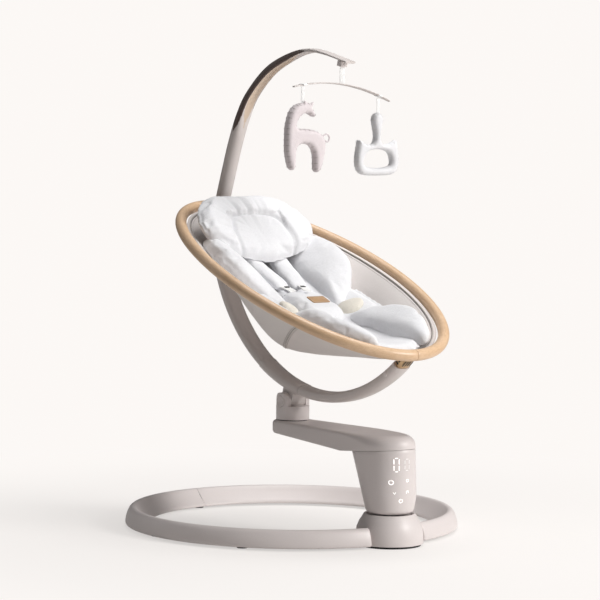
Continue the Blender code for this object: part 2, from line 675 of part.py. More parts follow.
# --- Sling and cushions -------------------------------------------------------------------------------
HEAD_REACH, FOOT_REACH = 0.268, 0.292       # the sling's rim along the seat
SLING_RIM = -0.004
SLING_THICK = 0.0025
SLING_DEPTH = [(-0.292, 0.020), (-0.25, 0.044), (-0.20, 0.067), (-0.15, 0.091), (-0.10, 0.114),
               (-0.05, 0.134), (-0.02, 0.143), (0.0, 0.142), (0.04, 0.128), (0.08, 0.107),
               (0.12, 0.086), (0.16, 0.066), (0.20, 0.046), (0.24, 0.027), (0.268, 0.014)]


def rim_half(u):
    """Half width of the sling's rim at this place along the seat."""
    reach = HEAD_REACH + 0.012 if u > 0 else FOOT_REACH + 0.012
    share = min(abs(u) / reach, 1.0)
    egg = 1 - SEAT_EGG * u / SEAT_A
    return (SEAT_B - WOOD_R - 0.0028) * egg * sqrt(max(1 - share ** 2.15, 0.0))


def sling_n(u, x):
    """Height of the sling's outer face above the ring's plane: pulled flat at the rims, deep at the keel."""
    share = min(abs(x) / rim_half(u), 1.0)
    return SLING_RIM - table(SLING_DEPTH, u) * (1 - share ** 2) ** 1.5


def make_sling(recline):
    """The sling: a thin bowl hung inside the ring."""
    stations = [-0.292, -0.280, -0.262, -0.238, -0.208, -0.175, -0.140, -0.105, -0.070, -0.040, -0.015,
                0.010, 0.040, 0.075, 0.110, 0.145, 0.180, 0.212, 0.238, 0.256, 0.268]
    half = [0.10, 0.22, 0.36, 0.50, 0.64, 0.77, 0.90, 1.0]
    shares = [-share for share in reversed(half)] + [0.0] + half
    bm = bmesh.new()
    sheets = []
    for lift in (0.0, SLING_THICK):
        sheet = []
        for u in stations:
            row = []
            for share in shares:
                x = share * rim_half(u)
                row.append(bm.verts.new(seat_to_world(u, x, sling_n(u, x) + lift)))
            sheet.append(row)
        sheets.append(sheet)
    for sheet in sheets:
        for low, high in zip(sheet, sheet[1:]):
            for i in range(len(shares) - 1):
                bm.faces.new((low[i], low[i + 1], high[i + 1], high[i]))
    out, inn = sheets
    for row in range(len(stations) - 1):
        for k in (0, len(shares) - 1):
            bm.faces.new((out[row][k], out[row + 1][k], inn[row + 1][k], inn[row][k]))
    for row in (0, len(stations) - 1):
        for k in range(len(shares) - 1):
            bm.faces.new((out[row][k], out[row][k + 1], inn[row][k + 1], inn[row][k]))
    place_node(mesh_object("seat_sling", bm), "sling", recline)


# The insert's upper face: a trough along the seat that rises to both sides.
CRADLE = [(-0.31, -0.004), (-0.29, -0.008), (-0.27, -0.015), (-0.20, -0.045), (-0.12, -0.062),
          (-0.05, -0.068), (0.03, -0.068), (0.10, -0.062), (0.165, -0.052), (0.20, -0.030), (0.23, 0.0)]
LINER = [(0.205, 0.0), (0.200, 0.060), (0.185, 0.098), (0.168, 0.120), (0.135, 0.134), (0.105, 0.139),
         (0.060, 0.138), (0.015, 0.128), (-0.030, 0.123), (-0.075, 0.122), (-0.120, 0.120),
         (-0.155, 0.119), (-0.195, 0.110), (-0.235, 0.092), (-0.270, 0.060), (-0.288, 0.028),
         (-0.292, 0.0)]
WING = [(0.178, 0.095), (0.168, 0.124), (0.135, 0.139), (0.105, 0.145), (0.077, 0.145), (0.048, 0.141),
        (0.026, 0.132), (0.005, 0.118), (-0.014, 0.100), (-0.036, 0.078), (-0.056, 0.056),
        (-0.048, 0.051), (-0.026, 0.056), (0.0, 0.062), (0.034, 0.064), (0.070, 0.064),
        (0.105, 0.062), (0.140, 0.064)]
LEG = [(-0.076, 0.050), (-0.074, 0.070), (-0.086, 0.092), (-0.112, 0.113), (-0.152, 0.126),
       (-0.195, 0.121), (-0.235, 0.104), (-0.272, 0.076), (-0.283, 0.056), (-0.262, 0.049),
       (-0.215, 0.050), (-0.165, 0.050), (-0.120, 0.049)]
WAIST = [(-0.0585, 0.066), (-0.046, 0.084), (-0.054, 0.100), (-0.070, 0.104), (-0.0795, 0.094),
         (-0.0700, 0.078), (-0.0655, 0.064)]
SHOULDER = [(0.135, 0.046), (0.125, 0.050), (0.060, 0.046), (0.020, 0.038), (0.010, 0.030),
            (0.008, 0.012), (0.018, 0.004), (0.060, 0.006), (0.125, 0.011), (0.135, 0.015)]
CROTCH = [(-0.118, 0.0), (-0.114, 0.027), (-0.096, 0.041), (-0.060, 0.0455), (-0.020, 0.044),
          (-0.002, 0.035), (0.002, 0.022), (-0.002, 0.010), (-0.005, 0.0)]
CROTCH_TOP = 0.030


def cradle_n(u, x):
    trough = table(CRADLE, u) + 0.075 * (abs(x) / 0.15) ** 2.2
    return max(trough, sling_n(u, x) + 0.0091)


def both_sides(half):
    """The whole outline from its left half, which starts and ends on the seat's middle."""
    return half + [(u, -x) for u, x in half[-2:0:-1]]


def lens_mesh(outline, top, bottom, rings=4, spokes=24):
    """A closed pad inside a ring of points; top and bottom give its faces' heights at a point and at
    its share of the way from the middle to the edge."""
    edge = closed_spline(outline, spokes)
    middle = (sum(p[0] for p in edge) / spokes, sum(p[1] for p in edge) / spokes)
    bm = bmesh.new()
    walls = []
    for face in (top, bottom):
        u, x = middle
        centre = bm.verts.new(face(u, x, 0.0))
        last = None
        for ring in range(1, rings + 1):
            share = ring / rings
            row = []
            for k in range(spokes):
                u = lerp(middle[0], edge[k][0], share)
                x = lerp(middle[1], edge[k][1], share)
                row.append(bm.verts.new(face(u, x, share)))
            for k in range(spokes):
                j = (k + 1) % spokes
                if last is None:
                    bm.faces.new((centre, row[k], row[j]))
                else:
                    bm.faces.new((last[k], row[k], row[j], last[j]))
            last = row
        walls.append(last)
    over, under = walls
    for k in range(spokes):
        j = (k + 1) % spokes
        bm.faces.new((over[k], over[j], under[j], under[k]))
    return bm


def closed_spline(points, count):
    """Points evenly spaced along a smooth ring through the given ones."""
    ring = [points[-1]] + points + [points[0], points[1]]
    fine = []
    for i in range(len(points)):
        p0, p1, p2, p3 = ring[i:i + 4]
        for k in range(12):
            t = k / 12
            fine.append(tuple(0.5 * (2 * b + (c - a) * t + (2 * a - 5 * b + 4 * c - d) * t * t
                                     + (3 * b - a - 3 * c + d) * t ** 3)
                              for a, b, c, d in zip(p0, p1, p2, p3)))
    fine.append(fine[0])
    steps = [0.0]
    for a, b in zip(fine, fine[1:]):
        steps.append(steps[-1] + sqrt((b[0] - a[0]) ** 2 + (b[1] - a[1]) ** 2))
    out = []
    for k in range(count):
        wanted = steps[-1] * k / count
        out.append((table(list(zip(steps, [p[0] for p in fine])), wanted),
                    table(list(zip(steps, [p[1] for p in fine])), wanted)))
    return out


def rise(share, power=3.0):
    """How far a stuffed pad has swelled at this share of the way to its edge."""
    return (1 - share ** power) ** 0.5


def cradle_pad(name, look, outline, height, parent, spokes=24, rings=4):
    """A stuffed pad that lies on the insert, its edge open to the sling."""
    def top(u, x, share):
        return seat_to_world(u, x, cradle_n(u, x) + 0.0024 + (height - 0.0024) * rise(share))

    def bottom(u, x, share):
        return seat_to_world(u, x, cradle_n(u, x) + 0.0006)

    return place_node(mesh_object(name, lens_mesh(outline, top, bottom, rings, spokes)), look, parent)


# The head pillow stands up from the seat and wraps forward at its ends.
PILLOW_LEAN = radians(45.0)
PILLOW_AT = Vector((0, 0.400, 0.555))
PILLOW = [(0.080, 0), (0.078, 0.045), (0.069, 0.080), (0.050, 0.104), (0.025, 0.121), (-0.002, 0.129),
          (-0.024, 0.127), (-0.043, 0.119), (-0.059, 0.106), (-0.069, 0.088), (-0.075, 0.064),
          (-0.082, 0.034), (-0.085, 0)]
HEAD_PAD = [(0.018, 0), (0.014, 0.030), (0.0, 0.050), (-0.022, 0.058), (-0.046, 0.056), (-0.058, 0.044),
            (-0.062, 0.020), (-0.063, 0)]
PILLOW_TOP, PILLOW_UNDER = 0.020, 0.012


def pillow_point(x, e, m):
    across = Vector((0, cos(PILLOW_LEAN), sin(PILLOW_LEAN)))
    out = Vector((0, -sin(PILLOW_LEAN), cos(PILLOW_LEAN)))
    wrap = 0.022 * (x / 0.135) ** 2
    return PILLOW_AT + Vector((x, 0, 0)) + across * e + out * (m + wrap - 0.012)


def pillow_mesh(grow=0.0):
    """The pillow, or the room that it needs, larger all round by grow."""
    outline = both_sides([(e * (1 + grow / 0.07), x * (1 + grow / 0.1)) for e, x in PILLOW])

    def top(e, x, share):
        return pillow_point(x, e, (PILLOW_TOP - 0.003) * rise(share) + 0.003 + grow)

    def bottom(e, x, share):
        return pillow_point(x, e, -(PILLOW_UNDER - 0.003) * rise(share) - 0.003 - grow)

    return lens_mesh(outline, top, bottom, 5, 28)


def make_pillow(recline):
    place_node(mesh_object("head_pillow", pillow_mesh()), "white", recline)

    def top(e, x, share):
        return pillow_point(x, e, PILLOW_TOP + 0.0014 + 0.006 * rise(share))

    def bottom(e, x, share):
        return pillow_point(x, e, PILLOW_TOP + 0.0010)

    pad = lens_mesh(both_sides(HEAD_PAD), top, bottom, 4, 20)
    place_node(mesh_object("head_pad", pad), "white", recline)


def make_cushions(recline):
    make_pillow(recline)

    def liner_under(u, x, share):
        return seat_to_world(u, x, sling_n(u, x) + SLING_THICK + 0.0024)

    def liner_top(u, x, share):
        return seat_to_world(u, x, cradle_n(u, x) - 0.0027)

    liner = lens_mesh(both_sides(LINER), liner_top, liner_under, 7, 44)
    place_node(mesh_object("body_liner", liner), "white", recline)
    for side, sign in (("left", 1), ("right", -1)):
        for name, look, half, height, spokes in (("side_wing", "white", WING, 0.030, 28),
                                                 ("leg_cushion", "white", LEG, 0.026, 28),
                                                 ("waist_pad", "cream", WAIST, 0.020, 16),
                                                 ("shoulder_pad", "white", SHOULDER, 0.026, 22)):
            outline = [(u, x * sign) for u, x in half]
            pad = cradle_pad(f"{name}_{side}", look, outline, height, recline, spokes)
            if name in ("side_wing", "shoulder_pad"):
                boolean(pad, cutter(f"{name}_{side}_room", pillow_mesh(0.0012)))
    cradle_pad("crotch_pad", "white", both_sides(CROTCH), CROTCH_TOP, recline, 28)
    height = cradle_n(-0.047, 0) + CROTCH_TOP + 0.0018
    label = box_mesh((0.038, 0.019, 0.0022), seat_to_world(-0.0470, 0.004, height),
                     Matrix.Rotation(SEAT_TILT, 4, "X"))
    place_node(mesh_object("crotch_label", label), "leather", recline)


# --- Mobile -------------------------------------------------------------------------------------------
ARM_LINE = [(0, 0.4955, 0.6070), (0, 0.4782, 0.6585), (0, 0.4600, 0.7100), (0, 0.4369, 0.7615),
            (0, 0.4084, 0.8034), (0, 0.3530, 0.8487), (0, 0.2850, 0.8760), (0, 0.2350, 0.8845),
            (0, 0.1896, 0.8790), (0, 0.1250, 0.8630)]


def mobile_axis():
    """Where the mobile arm leaves its socket, and its direction there."""
    up = (Vector(ARM_LINE[1]) - Vector(ARM_LINE[0])).normalized()
    return Vector(ARM_LINE[0]) - up * 0.0150, up


def arm_section(share):
    """Round at the foot, flatter through the bend, a thin blade at the tip."""
    bend = lerp(MOBILE_R, 0.0080, smooth((share - 0.20) / 0.25))
    thin = lerp(bend, 0.0024, smooth((share - 0.55) / 0.38))
    wide = lerp(MOBILE_R, 0.0115, smooth((share - 0.3) / 0.6))
    return oval(wide, thin, 12, 2.0)


def make_mobile(swivel, bar_turn, left_swing, right_swing):
    foot, up = mobile_axis()
    path = [foot + up * GAP] + spline(ARM_LINE, 26)
    arm = place_node(mesh_object("mobile_arm", swept(path, arm_section)), "tube", swivel)
    boolean(arm, cutter("arm_plug", rod_mesh(0.0106, foot - up * 0.0240, foot + up * 0.02, 20)), "UNION")

    tip = Vector(ARM_LINE[-1])
    clip = Vector((0, MOBILE_Y, 0.8665))
    hook = mesh_object("mobile_clip", box_mesh((0.016, 0.012, 0.0100), clip - Vector((0, 0, 0.0058)),
                                               Matrix.Rotation(radians(14), 4, "X")))
    place_node(hook, "plastic", swivel)

    top, low = clip.z - 0.0125, bar_height(0) + 0.0022
    strap = box_mesh((0.0095, 0.0012, top - low), (0, MOBILE_Y, (top + low) / 2))
    place_node(mesh_object("bar_strap", strap), "ribbon", bar_turn)

    rows = []
    for k in range(17):
        x = lerp(-BAR_HALF, BAR_HALF, k / 16)
        z = bar_height(x)
        half = lerp(0.0045, 0.0095, sqrt(max(1 - (x / BAR_HALF) ** 2, 0)))
        rows.append([(x, MOBILE_Y + half * cos(a), z + 0.0011 * sin(a))
                     for a in [2 * pi * (j + 0.5) / 8 for j in range(8)]])
    place_node(mesh_object("toy_bar", rows_mesh(rows)), "tube", bar_turn)

    for name, x, parent, drop in (("animal_strap", -0.0925, left_swing, 0.0250),
                                  ("ring_strap", 0.0870, right_swing, 0.0250)):
        z = bar_height(x) - 0.0030
        piece = box_mesh((0.0070, 0.0012, drop), (x, MOBILE_Y, z - drop / 2))
        place_node(mesh_object(name, piece), "ribbon", parent)
    make_animal(left_swing)
    make_cat_ring(right_swing)


def bar_height(x):
    """The toy bar is bowed, and hangs a little lower on the side of the heavier toy."""
    return BAR_Z + 0.0012 - 1.35 * x * x - 0.108 * x


def make_animal(swing):
    """A stuffed long-necked animal, cut as one flat shape: head, neck, body, two legs and a tail."""
    left, top = -0.1325, 0.7930
    shape = [(0.030, 0.000), (0.052, -0.002), (0.052, -0.012), (0.066, -0.024), (0.060, -0.030),
             (0.045, -0.024), (0.030, -0.032), (0.026, -0.050), (0.050, -0.053), (0.078, -0.058),
             (0.092, -0.066), (0.097, -0.062), (0.102, -0.068), (0.094, -0.078), (0.092, -0.098),
             (0.084, -0.121), (0.070, -0.123), (0.066, -0.100), (0.052, -0.084), (0.034, -0.080),
             (0.024, -0.092), (0.022, -0.119), (0.010, -0.120), (0.003, -0.088), (0.002, -0.045),
             (0.012, -0.018)]
    outline = [(left + 0.93 * u, top + v - 0.001) for u, v in shape]
    bm = outline_mesh(outline, MOBILE_Y - 0.0075, MOBILE_Y + 0.0075, "Y")
    place_node(mesh_object("animal_toy", bm), "knit", swing)


def make_cat_ring(swing):
    """A plush ring with two pointed ears and an arched hole, under a short stem."""
    mid, low = 0.0845, 0.6575
    outer = [(-0.044, 0.004), (-0.052, 0.018), (-0.050, 0.036), (-0.045, 0.064), (-0.028, 0.060),
             (-0.010, 0.058), (-0.006, 0.075), (-0.011, 0.098), (-0.006, 0.1155), (0.006, 0.1155),
             (0.011, 0.098), (0.006, 0.075), (0.010, 0.058), (0.028, 0.060), (0.045, 0.062),
             (0.050, 0.036), (0.052, 0.018), (0.044, 0.004), (0.022, 0.000), (-0.022, 0.000)]
    bm = outline_mesh([(mid + u, low + v) for u, v in outer], MOBILE_Y - 0.009, MOBILE_Y + 0.009, "Y")
    toy = place_node(mesh_object("cat_ring_toy", bm), "white", swing)
    hole = [(-0.034, 0.014)] + [(0.034, 0.014)] + arc((0, 0.024), 0.030, 0, 180, 10)
    cut = outline_mesh([(mid + u, low + v) for u, v in hole], MOBILE_Y - 0.05, MOBILE_Y + 0.05, "Y")
    boolean(toy, cutter("cat_hole", cut))


# --- The whole swing ----------------------------------------------------------------------------------
def main():
    make_base()
    make_pod()
    sway = empty("sway_axis", (0, 0, 0))
    make_column(sway)
    make_arm(sway)
    hub_turn = empty("hub_axis", (0, HUB_Y, HUB_BASE), sway)
    button = empty("recline_button_axis", (0, HUB_Y, PIVOT_Z), hub_turn)
    make_hub(hub_turn, button)
    recline = empty("recline_axis", (0, HUB_Y, PIVOT_Z), hub_turn)
    release = empty("release_button_axis", on_circle(-34.5), recline)
    make_frame(recline, release)
    make_seat_ring(recline)
    make_sling(recline)
    make_cushions(recline)
    foot, _ = mobile_axis()
    swivel = empty("mobile_axis", foot, recline)
    bar_turn = empty("toy_bar_axis", (0, MOBILE_Y, 0.855), swivel)
    left_swing = empty("animal_axis", (-0.0925, MOBILE_Y, bar_height(-0.0925)), bar_turn)
    right_swing = empty("ring_axis", (0.0870, MOBILE_Y, bar_height(0.0870)), bar_turn)
    make_mobile(swivel, bar_turn, left_swing, right_swing)


main()
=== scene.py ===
"""Looks of the baby swing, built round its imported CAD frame: soft goods, wood, painted tube and display."""

from math import asin, cos, pi, radians, sin, sqrt

import bmesh
import bpy
import numpy as np
from mathutils import Matrix, Vector, noise
from mathutils.bvhtree import BVHTree


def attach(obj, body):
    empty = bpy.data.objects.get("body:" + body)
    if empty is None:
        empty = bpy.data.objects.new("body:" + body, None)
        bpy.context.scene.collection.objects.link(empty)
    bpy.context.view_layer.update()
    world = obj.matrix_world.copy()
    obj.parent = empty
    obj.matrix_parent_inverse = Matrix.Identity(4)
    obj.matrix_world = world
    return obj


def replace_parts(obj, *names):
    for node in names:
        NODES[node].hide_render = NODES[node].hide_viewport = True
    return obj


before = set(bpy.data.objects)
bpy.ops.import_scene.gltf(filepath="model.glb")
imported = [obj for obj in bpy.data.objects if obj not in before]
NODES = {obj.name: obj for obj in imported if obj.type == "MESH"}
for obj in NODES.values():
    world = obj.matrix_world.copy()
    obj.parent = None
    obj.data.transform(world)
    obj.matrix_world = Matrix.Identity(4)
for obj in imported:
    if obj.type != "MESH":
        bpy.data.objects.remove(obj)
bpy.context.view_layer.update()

# --- Dimensions, as in the CAD ------------------------------------------------------------------------
HUB_Y = 0.278
BASE_R_OUT, BASE_R_RIDGE, BASE_R_IN, BASE_H, FOOT_H = 0.310, 0.2955, 0.263, 0.0365, 0.004
SEAM_Z, SEAM_SLOPE = 0.1714, -0.093
ARM_TOP, ARM_END_R = 0.199, 0.0373
C_Y, C_Z, C_R = 0.1829, 0.580, 0.3291
TUBE_W, TUBE_T = 0.0184, 0.0102
SADDLE_FROM, SADDLE_TO, FOOT_END, HEAD_END = 10.5, 31.5, -39.6, 82.0
SEAT_Y, SEAT_Z, SEAT_TILT = 0.2355, 0.4745, radians(22.0)
SEAT_A, SEAT_B, SEAT_EGG, SEAT_BOW, WOOD_R = 0.3233, 0.1967, 0.0387, -0.0078, 0.0105
MOBILE_R, MOBILE_Y, BAR_Z, BAR_HALF = 0.0140, 0.148, 0.822, 0.1135
BACKDROP = (0.974, 0.940, 0.916)


# --- Small maths --------------------------------------------------------------------------------------
def lerp(a, b, t):
    return a + (b - a) * t


def smooth(t):
    t = min(max(t, 0.0), 1.0)
    return t * t * (3 - 2 * t)


def table(points, x):
    return float(np.interp(x, [p[0] for p in points], [p[1] for p in points]))


def spline(points, count, closed=False):
    """Points evenly spaced along a Catmull-Rom curve through the given ones."""
    pts = [np.array(p, float) for p in points]
    if closed:
        ring = [pts[-1]] + pts + [pts[0], pts[1]]
        spans = len(pts)
    else:
        ring = [2 * pts[0] - pts[1]] + pts + [2 * pts[-1] - pts[-2]]
        spans = len(pts) - 1
    fine = []
    for i in range(spans):
        p0, p1, p2, p3 = ring[i:i + 4]
        for k in range(24):
            t = k / 24
            fine.append(0.5 * (2 * p1 + (p2 - p0) * t + (2 * p0 - 5 * p1 + 4 * p2 - p3) * t * t
                               + (3 * p1 - p0 - 3 * p2 + p3) * t ** 3))
    fine.append(ring[1] if closed else pts[-1])
    fine = np.array(fine)
    steps = np.r_[0, np.cumsum(np.linalg.norm(np.diff(fine, axis=0), axis=1))]
    wanted = np.linspace(0, steps[-1], count + 1)
    out = np.stack([np.interp(wanted, steps, fine[:, k]) for k in range(fine.shape[1])], 1)
    return out[:-1] if closed else out


# --- Materials ----------------------------------------------------------------------------------------
class Look:
    """A node material under construction, on object coordinates unless the mesh has its own UV."""

    def __init__(self, name, colour, rough, metal=0.0, uv=False):
        self.mat = bpy.data.materials.new(name)
        self.mat.use_nodes = True
        self.tree = self.mat.node_tree
        self.shader = self.tree.nodes["Principled BSDF"]
        self.shader.inputs["Metallic"].default_value = metal
        self.shader.inputs["Roughness"].default_value = rough
        self.colour = self.rgb(colour)
        where = self.tree.nodes.new("ShaderNodeTexCoord")
        self.place = where.outputs["UV" if uv else "Object"]
        self.normal = None

    def rgb(self, colour):
        node = self.tree.nodes.new("ShaderNodeRGB")
        node.outputs[0].default_value = (*colour, 1.0)
        return node.outputs[0]

    def scaled(self, scale, turn=(0, 0, 0)):
        node = self.tree.nodes.new("ShaderNodeMapping")
        node.inputs["Scale"].default_value = scale
        node.inputs["Rotation"].default_value = turn
        self.tree.links.new(self.place, node.inputs["Vector"])
        return node.outputs["Vector"]

    def noise(self, scale, detail=3.0, stretch=(1, 1, 1), distort=0.0):
        node = self.tree.nodes.new("ShaderNodeTexNoise")
        node.inputs["Scale"].default_value = scale
        node.inputs["Detail"].default_value = detail
        node.inputs["Distortion"].default_value = distort
        self.tree.links.new(self.scaled(stretch), node.inputs["Vector"])
        return node.outputs["Fac"]

    def wave(self, scale, direction, stretch=(1, 1, 1), distort=0.0, profile="SIN"):
        node = self.tree.nodes.new("ShaderNodeTexWave")
        node.wave_type = "BANDS"
        node.bands_direction = direction
        node.wave_profile = profile
        node.inputs["Scale"].default_value = scale
        node.inputs["Distortion"].default_value = distort
        self.tree.links.new(self.scaled(stretch), node.inputs["Vector"])
        return node.outputs["Fac"]

    def ramp(self, value, stops):
        node = self.tree.nodes.new("ShaderNodeValToRGB")
        ramp = node.color_ramp
        while len(ramp.elements) < len(stops):
            ramp.elements.new(0.5)
        for element, (at, colour) in zip(ramp.elements, stops):
            element.position = at
            element.color = (*colour, 1.0)
        self.tree.links.new(value, node.inputs["Fac"])
        return node.outputs["Color"]

    def mix(self, factor, a, b, kind="MIX"):
        node = self.tree.nodes.new("ShaderNodeMix")
        node.data_type = "RGBA"
        node.blend_type = kind
        for socket, value in ((node.inputs["Factor"], factor), (node.inputs[6], a), (node.inputs[7], b)):
            if isinstance(value, (int, float)):
                socket.default_value = value
            elif isinstance(value, tuple):
                socket.default_value = (*value, 1.0)
            else:
                self.tree.links.new(value, socket)
        return node.outputs[2]

    def maths(self, kind, a, b=None):
        node = self.tree.nodes.new("ShaderNodeMath")
        node.operation = kind
        for socket, value in zip(node.inputs, (a, b)):
            if value is None:
                continue
            if isinstance(value, (int, float)):
                socket.default_value = value
            else:
                self.tree.links.new(value, socket)
        return node.outputs[0]

    def attribute(self, name):
        node = self.tree.nodes.new("ShaderNodeAttribute")
        node.attribute_name = name
        return node.outputs["Fac"]

    def tint(self, value, low, high, stops=(0.3, 0.7)):
        """Multiplies the colour by a ramp of two greys or tints over the value."""
        shade = self.ramp(value, [(stops[0], low), (stops[1], high)])
        self.colour = self.mix(1.0, self.colour, shade, "MULTIPLY")

    def bump(self, height, distance, strength=1.0):
        node = self.tree.nodes.new("ShaderNodeBump")
        node.inputs["Distance"].default_value = distance
        node.inputs["Strength"].default_value = strength
        self.tree.links.new(height, node.inputs["Height"])
        if self.normal is not None:
            self.tree.links.new(self.normal, node.inputs["Normal"])
        self.normal = node.outputs["Normal"]

    def roughen(self, value, low, high):
        node = self.tree.nodes.new("ShaderNodeMapRange")
        node.inputs["To Min"].default_value = low
        node.inputs["To Max"].default_value = high
        self.tree.links.new(value, node.inputs["Value"])
        self.tree.links.new(node.outputs["Result"], self.shader.inputs["Roughness"])

    def sheen(self, amount, rough=0.5):
        self.shader.inputs["Sheen Weight"].default_value = amount
        self.shader.inputs["Sheen Roughness"].default_value = rough

    def done(self):
        self.tree.links.new(self.colour, self.shader.inputs["Base Color"])
        if self.normal is not None:
            self.tree.links.new(self.normal, self.shader.inputs["Normal"])
        return self.mat


def grey(value):
    return (value, value, value)


def moulded(name, colour, rough=0.42):
    """Satin moulded plastic: fine spark texture, slight flow shading and a lighter colour on sharp convex
    edges.
    """
    look = Look(name, colour, rough)
    look.tint(look.noise(9, 2), grey(0.955), grey(1.0))
    look.tint(look.noise(420, 2), grey(0.975), grey(1.0))
    # Colour up to 1.25 times lighter on sharp convex edges, read from Pointiness.
    point = look.tree.nodes.new("ShaderNodeNewGeometry").outputs["Pointiness"]
    look.colour = look.mix(look.ramp(point, [(0.53, grey(0)), (0.60, grey(0.35))]), look.colour,
                           tuple(min(c * 1.25, 0.9) for c in colour))
    look.roughen(look.noise(60, 3), rough - 0.05, rough + 0.07)
    look.bump(look.noise(1400, 2), 0.00005, 0.35)
    return look.done()


def painted(name, colour, rough=0.36):
    """Powder-coated metal tube: faint orange peel, a little gloss variation."""
    look = Look(name, colour, rough)
    look.tint(look.noise(7, 3), grey(0.95), grey(1.0))
    look.tint(look.noise(650, 1), grey(0.97), grey(1.0))
    look.roughen(look.noise(35, 4), rough - 0.05, rough + 0.08)
    look.bump(look.noise(520, 2), 0.00008, 0.35)
    look.shader.inputs["Coat Weight"].default_value = 0.12
    look.shader.inputs["Coat Roughness"].default_value = 0.3
    return look.done()


def beech(name):
    """Clear-lacquered beech: long grain, short dark flecks, slow colour drift."""
    look = Look(name, (0.740, 0.540, 0.375), 0.40, uv=True)
    drift = look.noise(2.2, 3, (0.8, 1.4, 1))
    look.tint(drift, (0.90, 0.86, 0.80), (1.0, 1.0, 1.0))
    grain = look.noise(16, 6, (0.55, 14, 1), 0.6)
    look.tint(grain, (0.80, 0.74, 0.66), (1.04, 1.03, 1.0), (0.35, 0.62))
    fleck = look.noise(60, 2, (0.9, 14, 1))
    look.tint(fleck, (0.78, 0.68, 0.58), (1.0, 1.0, 1.0), (0.30, 0.38))
    look.roughen(grain, 0.36, 0.50)
    look.bump(grain, 0.00012, 0.35)
    look.shader.inputs["Coat Weight"].default_value = 0.22
    look.shader.inputs["Coat Roughness"].default_value = 0.28
    return look.done()


def woven(name, colour, thread=0.0009, sheen=0.25, slub=0.5, tint=None):
    """Cloth: crossed threads, slubs and soft mottling."""
    look = Look(name, colour, 0.86)
    scale = 1.0 / thread / 6.283 * 3.1416
    threads = look.maths("MULTIPLY", look.wave(scale, "X", distort=0.6), look.wave(scale, "Z", distort=0.6))
    look.tint(look.noise(22, 4), grey(0.95), grey(1.0))
    look.tint(threads, grey(0.93), grey(1.0), (0.0, 0.6))
    # Painted shade: where the back panel's attribute is 1, the colour turns to the darker tint.
    if tint is not None:
        look.colour = look.mix(look.attribute("panel"), look.colour, tint)
    look.bump(threads, thread * 0.25, 0.45)
    look.bump(look.noise(170, 4), 0.0007, slub)
    look.sheen(sheen)
    return look.done()


def jersey(name, colour, sheen=0.35):
    """Brushed cotton jersey over wadding: fine knit, fuzzy mottling, little creases."""
    look = Look(name, colour, 0.92)
    knit = look.maths("MULTIPLY", look.wave(620, "X", distort=1.2), look.wave(480, "Z", distort=1.2))
    look.tint(look.noise(14, 5), (0.965, 0.965, 0.97), grey(1.0))
    look.tint(look.noise(260, 3), grey(0.955), grey(1.0))
    look.bump(look.noise(48, 5, distort=0.5), 0.0026, 0.32)
    look.bump(look.noise(300, 3), 0.0004, 0.5)
    look.bump(knit, 0.0002, 0.35)
    look.sheen(sheen)
    return look.done()


def hide(name):
    """Tan leather with grain."""
    look = Look(name, (0.450, 0.275, 0.140), 0.55)
    look.tint(look.noise(90, 4), (0.85, 0.82, 0.78), grey(1.0))
    pores = look.tree.nodes.new("ShaderNodeTexVoronoi")
    pores.inputs["Scale"].default_value = 900
    look.tree.links.new(look.place, pores.inputs["Vector"])
    look.bump(pores.outputs["Distance"], 0.00015, 0.5)
    look.roughen(look.noise(200, 3), 0.45, 0.65)
    return look.done()


def metal(name, colour, rough):
    look = Look(name, colour, rough, 1.0)
    brushed = look.noise(160, 4, (1, 12, 1))
    look.tint(brushed, grey(0.88), grey(1.0))
    look.roughen(brushed, rough - 0.06, rough + 0.10)
    look.bump(brushed, 0.00005, 0.3)
    return look.done()


def rubbery(name, colour, rough=0.8):
    look = Look(name, colour, rough)
    look.tint(look.noise(80, 3), grey(0.8), grey(1.0))
    look.bump(look.noise(900, 2), 0.0001, 0.4)
    look.roughen(look.noise(60, 3), rough - 0.1, min(rough + 0.08, 1.0))
    return look.done()


def lit(name, glow=0.9):
    """White light that shines through the moulding."""
    look = Look(name, (0.93, 0.93, 0.93), 0.5)
    look.tint(look.noise(500, 2), grey(0.94), grey(1.0))
    look.shader.inputs["Emission Color"].default_value = (1.0, 0.98, 0.96, 1.0)
    look.shader.inputs["Emission Strength"].default_value = glow
    return look.done()


